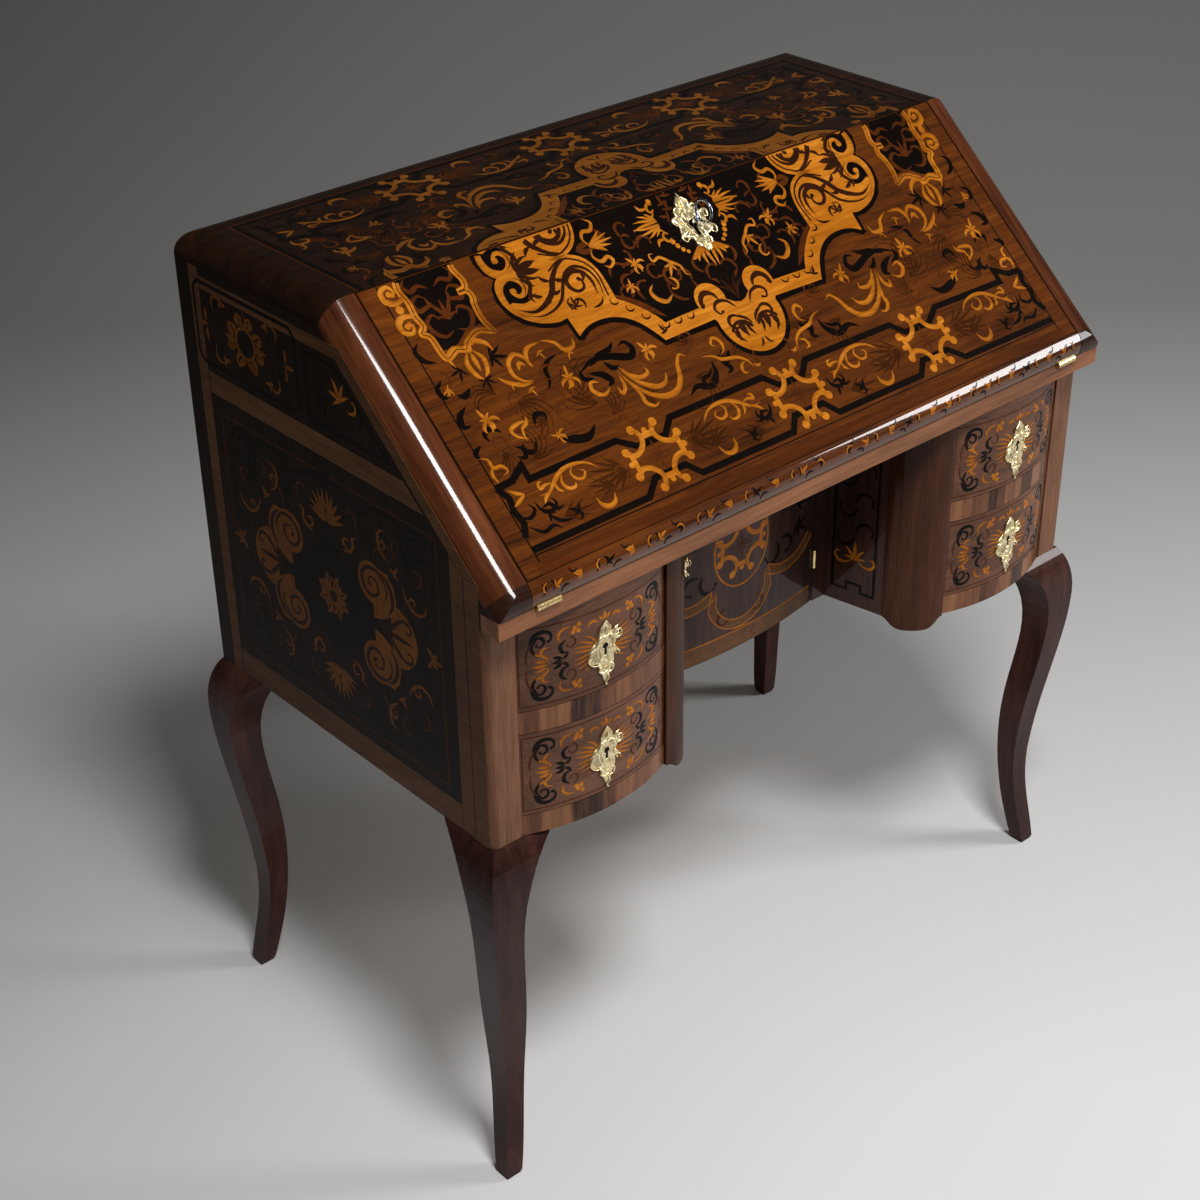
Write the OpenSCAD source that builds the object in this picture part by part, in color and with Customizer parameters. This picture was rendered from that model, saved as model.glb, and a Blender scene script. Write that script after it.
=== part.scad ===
// Fall-front secretary: a sloping fall over a writing bed, four bow-fronted
// drawers in two pedestals, a recessed kneehole cupboard and cabriole legs.
// The floor is Z 0, the front faces -Y, and X 0 is the middle of the desk.

/* [Carcass] */
// Width over the two sides
body_w = 920; // [880:1:980]
// Depth of the sides, from the front edge to the back
body_d = 498; // [470:1:540]
// Height of the carcass underside above the floor
leg_h = 462; // [440:1:480]
// Height of the pedestals, from the carcass underside to the writing bed
pedestal_h = 265; // [256:1:275]
// Height of the desk above its writing level
upper_h = 248; // [236:1:262]
// Thickness of a side
side_t = 20; // [16:0.5:22]
// Thickness of the top, and radius of its rounded edges
top_t = 28; // [25:0.5:32]
// Thickness of the back
back_t = 10; // [6:0.5:14]
// Thickness of the writing bed and height of the rail in front of it
bed_t = 20; // [18:0.5:22]

/* [Fall] */
// Angle of the closed fall from the horizontal
slope = 41; // [38:0.5:44]
// Width of the slope moulding on each side of the fall
moulding_w = 38; // [34:0.5:44]
// How far the front rail stands in front of the sides
rail_out = 27; // [22:0.5:32]
// Width of the stop strips that the closed fall lies on
stop_w = 18; // [12:0.5:24]
// Thickness of the stop strips below the mouldings
stop_t = 10; // [6:0.5:14]
// Distance along the slope from the hinge line to the strips' lower end
stop_low = 60; // [50:1:80]
// Distance along the slope from the fall's upper edge to the strips' upper end
stop_high = 34; // [28:1:44]

/* [Pedestals] */
// Width of the front corner stile
stile_w = 38; // [34:0.5:44]
// Depth of the front corner stile on the side of the desk
stile_d = 31; // [26:0.5:36]
// How far the stile stands in front of the side
stile_out = 3; // [1:0.5:5]
// Radius of the stile's outer corner
stile_r = 10; // [6:0.5:14]
// Width of a drawer opening
open_w = 195; // [190:1:202]
// Radius of the round corner post at the kneehole
post_r = 50; // [44:1:52]
// How far the corner post hangs below the bottom rail
post_drop = 12; // [6:0.5:16]
// Width of the ogee on each side of the post's low end
post_ogee = 28; // [16:1:34]
// Height of the bottom rail
bottom_rail_h = 24; // [20:0.5:28]
// Height of the rail between the drawers
mid_rail_h = 26; // [20:0.5:30]
// How much higher the upper drawer's opening is than the lower one's
upper_more = 11; // [0:1:18]
// Rise of the bow of the drawer fronts
bow = 21; // [12:0.5:24]
// How much further forward the bow's inner end stands than its outer end
bow_lead = 7.5; // [4:0.5:10]
// Thickness of the pedestal's inner wall
wall_t = 14; // [10:0.5:16]
// Thickness of the board between the drawers
dust_t = 10; // [6:0.5:12]
// Height of the strips that guide a drawer's sides
guide_h = 14; // [8:1:20]

/* [Kneehole cupboard] */
// How much the kneehole narrows on each side towards the cupboard
knee_splay = 15; // [10:0.5:20]
// Distance from the front of the sides back to the cupboard door
door_set = 117; // [100:1:130]
// Thickness of the door at its edges
door_t = 18; // [16:0.5:22]
// Rise of the shallow bow of the door's front
door_bow = 14; // [8:0.5:16]
// Width of the narrow stile beside the door
door_stile_w = 21; // [18:0.5:28]
// Thickness of the cupboard floor
cup_floor_t = 12; // [8:0.5:16]
// Distance from the door's edge to its keyhole
door_lock_in = 42; // [34:1:48]
// Distance from each end of the door's height to the middle of a hinge
door_hinge_end = 60; // [50:1:70]
// Radius of a door hinge's barrel
door_barrel_r = 2.5; // [2.2:0.1:2.8]
// Length of a door hinge's barrel
door_barrel_l = 24; // [20:1:30]
// Radius of a door hinge's pin
door_pin_r = 1; // [0.8:0.1:1.2]
// Length of a door hinge's leaf, from the pin
door_leaf_l = 12; // [9:0.5:14]
// Thickness of a door hinge's leaf
door_leaf_t = 1; // [0.8:0.1:1.2]

/* [Legs] */
// Width of the leg where it spreads under the carcass
leg_top = 82; // [74:1:90]
// How far the knee swells past the carcass
knee_out = 18; // [12:0.5:24]
// Width of the leg at the floor
foot_w = 21; // [18:0.5:26]
// How far the foot stands past the carcass corner
foot_out = 7.5; // [4:0.5:12]
// Thickness of the pad under the foot
pad_t = 4; // [3:0.5:6]
// Radius of the round tenon on top of the leg
tenon_r = 9; // [7:0.5:10]
// Height of the round tenon
tenon_h = 18; // [12:0.5:19]

/* [Drawers] */
// Thickness of a drawer front at its outer end
front_t = 14; // [12:0.5:18]
// Length of a drawer box behind its front
box_l = 430; // [380:1:450]
// Thickness of the drawer's sides and back
box_t = 9; // [6:0.5:12]
// Thickness of the drawer's bottom
box_floor_t = 6; // [4:0.5:8]
// How much lower than its front a drawer's sides are
box_low = 6; // [3:0.5:12]

/* [Writing nest] */
// Distance from the back of the desk to the front of the nest
nest_d = 216; // [180:1:230]
// Height of the nest's small drawers' opening
nest_open_h = 68; // [58:1:76]
// Half the width of the open middle bay
nest_mid = 150; // [120:1:180]
// Thickness of the nest's shelf and partitions
nest_t = 8; // [6:0.5:10]
// Thickness of the small drawers' walls
nest_box_t = 6; // [4:0.5:8]
// Diameter of the small drawers' knobs
knob_d = 14; // [10:0.5:18]

/* [Locks and hinges] */
// Distance from the fall's upper edge down to its keyhole
keyhole_down = 48; // [44:1:56]
// Height of a drawer's escutcheon
esc_h = 71; // [62:1:74]
// Width of a drawer's escutcheon
esc_w = 40; // [34:1:44]
// How far a drawer's escutcheon hangs below its keyhole
esc_low = 7; // [4:0.5:9]
// Thickness of the escutcheons
esc_t = 2.6; // [2:0.1:3.5]
// Radius of the fall hinge's barrel
barrel_r = 4.6; // [4:0.1:4.8]
// Length of the fall hinge's barrel
barrel_l = 30; // [28:1:36]
// Radius of the fall hinge's pin
pin_r = 1.6; // [1.2:0.1:2]
// Distance from the fall's end to the middle of a hinge
hinge_in = 23; // [20:1:40]
// Length of a hinge leaf away from its barrel
leaf_l = 22; // [16:0.5:26]
// Thickness of a hinge leaf
leaf_t = 1.5; // [1.2:0.1:2]
// Radius of a hinge screw's shank
screw_r = 1.4; // [1.1:0.1:1.6]
// Length of a hinge screw
screw_l = 13; // [10:0.5:15]
// Radius of the key's ring
ring_r = 12.5; // [10:0.5:14]
// Travel of the fall's bolt
bolt_throw = 8; // [6:0.5:9]
// Width of a drawer's lock
drawer_lock_w = 50; // [40:1:56]
// Height of a drawer's lock
drawer_lock_h = 34; // [28:1:40]
// Width and height of the door's lock
door_lock_w = 40; // [32:1:46]
// Thickness of the drawers' locks and the door's lock
small_lock_t = 9; // [7:0.5:10]
// Radius of the round part of the drawers' and the door's keyholes
small_key_r = 2.3; // [2:0.1:2.6]
// Length of the slot of these keyholes
small_slot_l = 8; // [7:0.5:9]
// Width of the slot of these keyholes
small_slot_w = 2; // [1.6:0.1:2.4]

/* [Clearances] */
// Gap round the fall and the door
leaf_gap = 1; // [0.6:0.1:1.4]
// Gap round a drawer front
drawer_gap = 1; // [0.6:0.1:1.4]
// Gap between a moving board and what carries it
run_gap = 0.3; // [0.2:0.05:0.5]
// Radial gap of a hinge pin in its moving knuckle
pin_gap = 0.05; // [0.02:0.01:0.08]

/* [Hidden] */
$fn = 96;
half_w = body_w / 2;
in_w = half_w - side_t;
fall_half = half_w - moulding_w;
hinge_x = fall_half - hinge_in;
open_out = half_w - stile_w;
open_in = open_out - open_w;

// Each tier stands on the one below it.
bed_under = leg_h + pedestal_h;
writing_h = bed_under + bed_t;
top_h = writing_h + upper_h;
top_under = top_h - top_t;

// The open fall lies on the upper drawers, drawn out, level with the bed.
fall_t = bed_t + drawer_gap - run_gap;

// The desk is centred on Y 0 between the fall's nose and the rear knees.
nose_out = fall_t * (1 - cos(slope));
back_y = (body_d + rail_out + nose_out - knee_out) / 2;
front_y = back_y - body_d;
hinge_y = front_y - rail_out;
inner_back_y = back_y - back_t;

// Along the slope, S runs up from the hinge line and H out from the fall's inner face.
s_top = (top_h - writing_h - fall_t * cos(slope)) / sin(slope);
mitre = tan(slope / 2);
ridge_y = hinge_y + s_top * cos(slope) - fall_t * sin(slope);
moulding_h0 = fall_t - top_t;
nose_y = hinge_y - moulding_h0 / sin(slope);
slope_top_y = ridge_y + top_t * mitre;

// Levels of the pedestal.
floor_top = leg_h + bottom_rail_h;
lower_open_h = (pedestal_h - bottom_rail_h - mid_rail_h - upper_more) / 2;
mid_under = floor_top + lower_open_h;
mid_top = mid_under + mid_rail_h;
stile_front_y = front_y - stile_out;
stile_back_y = stile_front_y + stile_d;

// The bow of the fronts is one arc through its two ends.
bow_out = [open_out, front_y - 1];
bow_in = [open_in, front_y - 1 - bow_lead];
bow_chord = norm(bow_out - bow_in);
bow_dir = (bow_out - bow_in) / bow_chord;
bow_r = (bow_chord * bow_chord / 4 + bow * bow) / (2 * bow);
bow_mid = (bow_out + bow_in) / 2;
bow_c = bow_mid + (bow_r - bow) * [-bow_dir[1], bow_dir[0]];
drawer_mid_x = (open_out + open_in) / 2;
front_back_y = front_y + front_t;
bow_reach = post_r + bow + bow_lead + 10;

// Plan of the corner post and of the kneehole behind it.
post_in = open_in - post_r - 4;
post_front_y = bow_in[1] - 4;
post_c = [post_in + post_r, post_front_y + post_r];
rail_back_y = post_c[1];
door_y = front_y + door_set;
wall_in = post_in + 1;
wall_out = wall_in + wall_t;
knee_in = post_in - knee_splay;
door_half = knee_in - door_stile_w - leaf_gap;
door_back_y = door_y + door_t;
door_bow_r = (door_half * door_half + door_bow * door_bow) / (2 * door_bow);
door_bow_c = [0, door_y - door_bow + door_bow_r];
door_axis = [door_half + leaf_gap / 2, door_y - door_barrel_r * 0.56];
door_hinge_z = [leg_h + door_hinge_end, bed_under - door_hinge_end];
door_under = leg_h + 2;

// The nest of small drawers and pigeonholes at the back of the writing bed.
nest_y = back_y - nest_d;
nest_shelf_z = writing_h + nest_open_h;
nest_outer = (nest_mid + in_w) / 2;

// Lock, bolt and key of the fall, in slope coordinates.
key_s = s_top - keyhole_down;
lock_w = 66;
lock_low = 18;
lock_t = 11;
lock_wall = 1.4;
key_r = 2.5;
bit_r = 8.5;
bit_w = 2.2;
bit_h = 5;
bolt_w = 24;
bolt_t = 4;
bolt_h0 = 4;

door_lock_x = door_lock_in - door_half;
door_key_z = (leg_h + bed_under) / 2 + 6;

walnut = [0.36, 0.2, 0.12];
rosewood = [0.24, 0.12, 0.08];
pale_wood = [0.5, 0.33, 0.2];
inner_wood = [0.62, 0.47, 0.3];
brass = [0.8, 0.65, 0.32];
steel = [0.2, 0.22, 0.26];

// Helpers

// Extrudes a (Y, Z) outline along X from x0 to x1.
module along_x(x0, x1) {
    translate([x0, 0, 0]) rotate([90, 0, 90]) linear_extrude(x1 - x0) children();
}

// Extrudes an (X, Z) outline along Y from y0 to y1.
module along_y(y0, y1) {
    translate([0, y1, 0]) rotate([90, 0, 0]) linear_extrude(y1 - y0) children();
}

// Extrudes an (X, Y) plan from z0 to z1.
module along_z(z0, z1) {
    translate([0, 0, z0]) linear_extrude(z1 - z0) children();
}

// A board between two corners.
module board(low, high) {
    translate(low) cube(high - low);
}

// Right-hand pieces as drawn, left-hand ones mirrored.
module on_side(side) {
    if (side < 0) mirror([1, 0, 0]) children();
    else children();
}

module both_sides() {
    for (side = [-1, 1]) on_side(side) children();
}

// Slope coordinates: X, then S up the slope, then H out of the fall.
module on_slope() {
    translate([0, hinge_y, writing_h]) rotate([slope, 0, 0]) children();
}

// What a quarter round of radius r takes off the corner above and right of its centre.
module corner_waste(r) {
    difference() {
        square(r + 2);
        circle(r);
    }
}

// Points of a cubic curve between p0 and p3, without its first point.
function curve(p0, p1, p2, p3, n) = [
    for (i = [1:n])
        let (t = i / n, u = 1 - t)
        u * u * u * p0 + 3 * u * u * t * p1 + 3 * u * t * t * p2 + t * t * t * p3
];

// Carcass

module top_board() {
    color(walnut) intersection() {
        along_x(-half_w, half_w) difference() {
            polygon([[ridge_y, top_h], [slope_top_y, top_under],
                     [back_y, top_under], [back_y, top_h]]);
            translate([back_y - top_t, top_under]) corner_waste(top_t);
        }
        along_y(ridge_y - 1, back_y + 1) difference() {
            translate([-half_w, top_under]) square([body_w, top_t]);
            translate([half_w - top_t, top_under]) corner_waste(top_t);
            mirror([1, 0]) translate([half_w - top_t, top_under]) corner_waste(top_t);
        }
        difference() {
            translate([-half_w, ridge_y - 1, top_under - 1])
                cube([body_w, body_d, top_t + 2]);
            strike();
        }
    }
}

// The mortise in the top's front edge that takes the fall's bolt.
module strike() {
    on_slope() translate([-bolt_w / 2 - 1, s_top - 12, bolt_h0 - 1])
        cube([bolt_w + 2, 12 + bolt_throw, bolt_t + 2]);
}

// Corner stiles, full height of the pedestal, rounded outside.
module corner_stiles() {
    color(pale_wood) both_sides() difference() {
        along_z(leg_h, bed_under) difference() {
            translate([open_out, stile_front_y]) square([stile_w, stile_d]);
            translate([half_w - stile_r, stile_front_y + stile_r]) mirror([0, 1])
                corner_waste(stile_r);
        }
        tenon(false, 0.5);
    }
}

module side(side) {
    color(walnut) on_side(side) along_x(in_w, half_w) polygon([
        [stile_back_y, leg_h], [stile_back_y, bed_under], [front_y, bed_under],
        [front_y, writing_h], [nose_y, writing_h], [slope_top_y, top_under],
        [back_y, top_under], [back_y, leg_h]
    ]);
}

// Outline of a slope moulding across its length, in X and H.
module moulding_section() {
    difference() {
        translate([fall_half, moulding_h0]) square([moulding_w, top_t]);
        translate([half_w - top_t, moulding_h0]) corner_waste(top_t);
    }
}

module slope_mouldings() {
    color(walnut) both_sides() on_slope() intersection() {
        along_x(fall_half, half_w) polygon([
            [fall_t, moulding_h0], [fall_t, fall_t], [s_top, fall_t],
            [s_top - top_t * mitre, moulding_h0]
        ]);
        along_y(0, s_top + 10) moulding_section();
    }
}

// Rounded blocks that carry the fall's lower edge across the mouldings' ends.
module end_blocks() {
    color(rosewood) both_sides() on_slope() intersection() {
        along_x(fall_half, half_w) difference() {
            polygon([[0, 0], [0, fall_t], [fall_t, fall_t], [fall_t, moulding_h0],
                     [-moulding_h0 / tan(slope), moulding_h0]]);
            translate([fall_t, 0]) mirror([1, 0]) corner_waste(fall_t);
        }
        along_y(-10, s_top) moulding_section();
    }
}

module back_panel() {
    color(inner_wood)
        board([-in_w, inner_back_y, leg_h], [in_w, back_y, top_under]);
}

module writing_bed() {
    color(inner_wood)
        board([-in_w, front_y, bed_under], [in_w, inner_back_y, writing_h]);
}

module front_rail() {
    color(pale_wood) difference() {
        board([-half_w, hinge_y, bed_under], [half_w, front_y, writing_h]);
        both_sides() at_hinge() {
            barrel_room();
            leaf_room(-leaf_t, 1);
            fixed_screws();
        }
    }
}

// Plan of the bowed front between x0 and x1, with a flat back at y.
module bow_plan(x0, x1, y) {
    intersection() {
        translate(bow_c) circle(bow_r, $fn = 180);
        translate([x0, y - bow_reach]) square([x1 - x0, bow_reach]);
    }
}

// Bottom rails and the rails between the drawers, bowed with the fronts.
module pedestal_rails() {
    color(rosewood) both_sides() {
        along_z(leg_h, floor_top) bow_plan(open_in, open_out, rail_back_y);
        along_z(mid_under, mid_top) bow_plan(open_in, open_out, rail_back_y);
    }
}

// Plan of the post: square inside, a quarter round towards the kneehole.
module post_plan() {
    difference() {
        translate([post_in, post_front_y])
            square([open_in - post_in, rail_back_y - post_front_y]);
        translate(post_c) rotate(180) corner_waste(post_r);
    }
}

// An ogee that falls by post_drop over the width w, from the point [0, 0].
function ogee(w) = concat(
    [[0, 0]], curve([0, 0], [-w * 0.42, 0], [-w * 0.42, -post_drop], [-w, -post_drop], 10));

// A post's outline in one upright plane: an ogee from `edge` to its low end at `far`.
module post_outline(edge, far) {
    translate([0, leg_h]) polygon(concat(
        [[edge, bed_under - leg_h]], [for (p = ogee(post_ogee)) p + [edge, 0]],
        [[far, -post_drop], [far, bed_under - leg_h]]));
}

module inner_posts() {
    color(walnut) both_sides() intersection() {
        along_z(leg_h - post_drop, bed_under) post_plan();
        along_y(post_front_y - 1, rail_back_y + 1) post_outline(open_in, post_in - 1);
        along_x(post_in - 1, open_in + 1) post_outline(rail_back_y, post_front_y - 1);
    }
}

module pedestal_walls() {
    color(inner_wood) both_sides()
        board([wall_in, post_c[1], leg_h], [wall_out, inner_back_y, bed_under]);
}

// Wedge-shaped facings that narrow the kneehole towards the cupboard.
module kneehole_panels() {
    color(rosewood) both_sides() along_z(leg_h, bed_under) polygon([
        [post_in, post_c[1]], [wall_in, post_c[1]], [wall_in, door_y],
        [knee_in, door_y]
    ]);
}

module pedestal_floors() {
    color(inner_wood) both_sides() difference() {
        board([wall_out, rail_back_y, leg_h], [in_w, inner_back_y, floor_top]);
        tenon(true, 0.5);
    }
}

module dust_boards() {
    color(inner_wood) both_sides()
        board([wall_out, rail_back_y, mid_top - dust_t], [in_w, inner_back_y, mid_top]);
}

module drawer_guides() {
    color(inner_wood) both_sides() for (z = [floor_top, mid_top]) {
        board([open_out, stile_back_y, z], [in_w, inner_back_y, z + guide_h]);
        board([wall_out, rail_back_y, z], [open_in, inner_back_y, z + guide_h]);
    }
}

module cupboard_floor() {
    color(inner_wood)
        board([-wall_in, door_back_y, leg_h], [wall_in, inner_back_y, leg_h + cup_floor_t]);
}

module cupboard_stiles() {
    color(rosewood) both_sides() difference() {
        board([door_half + leaf_gap, door_y, leg_h], [wall_in, door_back_y, bed_under]);
        door_barrel_room();
        door_leaf_room(door_half + leaf_gap - 0.1);
    }
}

// Cabriole legs

// One leg's S-shaped outline, measured out from the carcass corner.
// Cutting it from the square twice, once from each face, gives the bandsawn leg.
function leg_outline() =
    let (h = leg_h, k = knee_out, f = foot_out, w = foot_w,
         knee = [k, h * 0.86],
         ankle_out = [-6, h * 0.33],
         ankle_in = [-35.5, h * 0.42],
         back_knee = [-24, h * 0.76])
    concat(
        [[0, h]],
        curve([0, h], [k * 0.4, h - 8], [k, h * 0.935], knee, 8),
        curve(knee, [k, h * 0.71], [-1, h * 0.54], ankle_out, 10),
        curve(ankle_out, [-8, h * 0.2], [f - 6, h * 0.13], [f, pad_t], 9),
        [[f - w, pad_t]],
        curve([f - w, pad_t], [f - w - 12, h * 0.13], [-35.5, h * 0.26], ankle_in, 9),
        curve(ankle_in, [-35.5, h * 0.56], [-24, h * 0.66], back_knee, 9),
        curve(back_knee, [-24, h * 0.88], [-44, h * 0.955], [-leg_top, h], 9));

// Round tenon of a right-hand leg: the front one enters the corner stile, the
// rear one the pedestal floor. It is also the shape of the bore, longer by `more`.
module tenon(rear, more) {
    at = rear ? [half_w - leg_top / 2, back_y - leg_top / 2]
              : [half_w - stile_w / 2, stile_front_y + stile_d / 2];
    translate([at[0], at[1], leg_h - 0.01]) cylinder(r = tenon_r, h = tenon_h + more);
}

// Moves a (Y, Z) outline, drawn out from a corner, to the rear or the front corner.
module at_corner_y(rear) {
    if (rear) translate([back_y, 0]) children();
    else translate([stile_front_y, 0]) mirror([1, 0]) children();
}

module leg(side, rear) {
    color(rosewood) on_side(side) {
        intersection() {
            along_y(-body_d, body_d) translate([half_w, 0]) polygon(leg_outline());
            along_x(0, body_w) at_corner_y(rear) polygon(leg_outline());
        }
        tenon(rear, 0);
    }
}

// Felt pads under the feet, a little smaller than the foot.
module foot_pads() {
    inset = 1.5;
    color([0.05, 0.05, 0.05]) both_sides() for (rear = [false, true]) intersection() {
        along_y(-body_d, body_d) translate([half_w + foot_out - foot_w + inset, 0])
            square([foot_w - 2 * inset, pad_t]);
        along_x(0, body_w) at_corner_y(rear) translate([foot_out - foot_w + inset, 0])
            square([foot_w - 2 * inset, pad_t]);
    }
}

// Fall

// Rebated strips on the sides that the closed fall lies on.
module fall_stops() {
    color(inner_wood) both_sides() on_slope() along_y(stop_low, s_top - stop_high)
        polygon([
            [fall_half - stop_w, 0], [fall_half, 0], [fall_half, moulding_h0],
            [in_w, moulding_h0], [in_w, moulding_h0 - stop_t],
            [fall_half - stop_w, moulding_h0 - stop_t]
        ]);
}

// The lock's upper end at its outer face, where the fall's bevelled edge cuts it.
lock_top_s = s_top - leaf_gap - (fall_t - lock_t) * mitre;

module fall_board() {
    lift = run_gap;
    r = fall_t - lift;
    s0 = 0.4;
    color(rosewood) on_slope() difference() {
        along_x(leaf_gap - fall_half, fall_half - leaf_gap) difference() {
            polygon([[s0, lift], [s0, fall_t], [s_top - leaf_gap, fall_t],
                     [s_top - leaf_gap - r * mitre, lift]]);
            translate([s0 + r, lift]) mirror([1, 0]) corner_waste(r);
        }
        both_sides() translate([hinge_x, 0, 0]) {
            barrel_room();
            leaf_room(-1, leaf_t + lift);
            moving_screws();
        }
        translate([-lock_w / 2 - 0.1, key_s - lock_low - 0.1, -1])
            cube([lock_w + 0.2, s_top, lock_t + lift + 1.1]);
        translate([0, key_s, 0]) fall_keyhole(3 * fall_t);
    }
}

// A keyhole: a round bore with a slot below it, cut right through along H.
module keyhole(r, slot_l, slot_w, l) {
    translate([0, 0, -l / 2]) cylinder(r = r, h = l);
    translate([-slot_w / 2, -slot_l, -l / 2]) cube([slot_w, slot_l, l]);
}

// The fall's keyhole leaves room round the key's shank and bit.
module fall_keyhole(l) {
    keyhole(key_r + 0.3, bit_r + 0.8, bit_w + 0.8, l);
}

// A keyhole of a drawer or of the door, seen from the front.
module front_keyhole(l) {
    rotate([90, 0, 0]) keyhole(small_key_r, small_slot_l, small_slot_w, l);
}

module fall_lock() {
    lift = run_gap;
    s0 = key_s - lock_low;
    color(brass) on_slope() difference() {
        intersection() {
            translate([-lock_w / 2, s0, lift]) cube([lock_w, s_top - s0, lock_t]);
            along_x(-lock_w, lock_w) polygon([
                [0, lift], [0, fall_t], [s_top - leaf_gap, fall_t],
                [s_top - leaf_gap - (fall_t - lift) * mitre, lift]
            ]);
        }
        translate([lock_wall - lock_w / 2, s0 + lock_wall, lift + lock_wall])
            cube([lock_w - 2 * lock_wall, lock_top_s - s0 - lock_wall - 8,
                  lock_t - 2 * lock_wall]);
        translate([-bolt_w / 2 - 0.3, key_s + 9, bolt_h0 - 0.3])
            cube([bolt_w + 0.6, s_top, bolt_t + 0.6]);
        translate([0, key_s, lock_t]) fall_keyhole(lock_t);
    }
}

module fall_bolt() {
    top = s_top - leaf_gap - (fall_t - bolt_h0) * mitre - 0.4;
    color(brass) on_slope() difference() {
        translate([-bolt_w / 2, key_s + 10, bolt_h0])
            cube([bolt_w, top - key_s - 10, bolt_t]);
        translate([0, key_s + 6, bolt_h0 - 1]) cylinder(r = 7, h = bolt_t + 2);
    }
}

module fall_key() {
    wire = 1.6;
    out = fall_t + esc_t;
    ring_h = out + 10 + ring_r;
    color(steel) on_slope() translate([0, key_s, 0]) {
        difference() {
            translate([0, 0, 2.6]) cylinder(r = key_r, h = ring_h - ring_r - 2.6);
            translate([0, 0, 1]) cylinder(r = 1, h = 8);
        }
        translate([-bit_w / 2, -bit_r, 3.4]) cube([bit_w, bit_r - 1, bit_h]);
        translate([0, 0, out + 5]) cylinder(r = key_r + 1.1, h = 2.4);
        translate([0, 0, ring_h]) rotate([0, 90, 0])
            rotate_extrude() translate([ring_r, 0]) circle(wire, $fn = 32);
    }
}

// Outline of a cast escutcheon: a crest, two shoulders and a hanging drop.
function esc_point(a) = let (
    lobes = 1 + 0.07 * cos(7 * a) - 0.04 * cos(12 * a),
    narrow = 1 - 0.3 * pow(abs(cos(a)), 3),
    tip = 1 + 0.1 * pow(abs(cos(a)), 9)
) [0.52 * sin(a) * lobes * narrow, 0.46 * cos(a) * tip];

module escutcheon_outline(w, h) {
    polygon([for (a = [0:6:354]) [w * esc_point(a)[0], h * esc_point(a)[1]]]);
}

module fall_escutcheon() {
    color(brass) on_slope() translate([0, key_s, fall_t]) difference() {
        linear_extrude(esc_t) translate([0, -esc_low * 0.7])
            escutcheon_outline(esc_w * 1.25, esc_h);
        fall_keyhole(3 * esc_t);
    }
}

// Fall hinges: the barrel's axis is the meeting line of the fall and the rail.
// Each is drawn round the origin, with its leaves towards +Y.

knuckle_l = barrel_l / 3;

module at_hinge() {
    translate([hinge_x, hinge_y, writing_h]) children();
}

// A round bar along X from x0 to x1.
module bar_x(r, x0, x1) {
    translate([x0, 0, 0]) rotate([0, 90, 0]) cylinder(r = r, h = x1 - x0);
}

// Recess round the barrel in the fall and in the rail.
module barrel_room() {
    bar_x(barrel_r + 0.5, -barrel_l / 2 - 0.4, barrel_l / 2 + 0.4);
}

// Recess for a leaf, between two heights.
module leaf_room(z0, z1) {
    translate([-barrel_l / 2, 0, z0]) cube([barrel_l, leaf_l, z1 - z0]);
}

// A leaf with its knuckles, each of them between the two X values of a pair.
module hinge_leaf(z, knuckles, bore) {
    web = (bore + barrel_r) / 2;
    difference() {
        for (k = knuckles) bar_x(barrel_r, k[0], k[1]);
        bar_x(bore, -barrel_l, barrel_l);
    }
    for (k = knuckles)
        translate([k[0], web, z]) cube([k[1] - k[0], barrel_r + 2 - web, leaf_t]);
    translate([-barrel_l / 2, barrel_r + 1, z])
        cube([barrel_l, leaf_l - barrel_r - 1, leaf_t]);
}

// A countersunk screw with its head's top at the origin, pointing to -Z.
module screw() {
    translate([0, 0, -leaf_t]) cylinder(r1 = screw_r, r2 = 2 * screw_r, h = leaf_t);
    translate([0, 0, -screw_l]) cylinder(r = screw_r, h = screw_l - leaf_t + 0.01);
}

module screw_pair() {
    for (x = [-1, 1]) translate([x * barrel_l * 0.28, (leaf_l + barrel_r) / 2 + 1, 0])
        children();
}

module fixed_screws() {
    screw_pair() screw();
}

module moving_screws() {
    translate([0, 0, run_gap]) screw_pair() mirror([0, 0, 1]) screw();
}

module fall_hinge_fixed_leaves() {
    outer = barrel_l / 2;
    inner = knuckle_l / 2;
    color(brass) both_sides() at_hinge() difference() {
        hinge_leaf(-leaf_t, [[-outer, -inner], [inner, outer]], pin_r);
        fixed_screws();
    }
}

module fall_hinge_pins() {
    color(brass) both_sides() at_hinge() bar_x(pin_r, -barrel_l / 2, barrel_l / 2);
}

module fixed_leaf_screws() {
    color(brass) both_sides() at_hinge() fixed_screws();
}

module fall_hinge_moving_leaves() {
    inner = knuckle_l / 2 - 0.2;
    color(brass) both_sides() on_slope() translate([hinge_x, 0, 0]) difference() {
        hinge_leaf(run_gap, [[-inner, inner]], pin_r + pin_gap);
        moving_screws();
    }
}

module moving_leaf_screws() {
    color(brass) both_sides() on_slope() translate([hinge_x, 0, 0]) moving_screws();
}

// Cupboard door

module door_barrel_room() {
    for (z = door_hinge_z)
        translate([door_axis[0], door_axis[1], z - door_barrel_l / 2 - 0.3])
            cylinder(r = door_barrel_r + 0.4, h = door_barrel_l + 0.6);
}

// Recesses for the leaves, from x towards the pin's side.
module door_leaf_room(x) {
    for (z = door_hinge_z)
        translate([x, door_axis[1], z - door_barrel_l / 2 - 0.1])
            cube([door_leaf_t + 0.2, door_leaf_l + 0.1, door_barrel_l + 0.2]);
}

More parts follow.
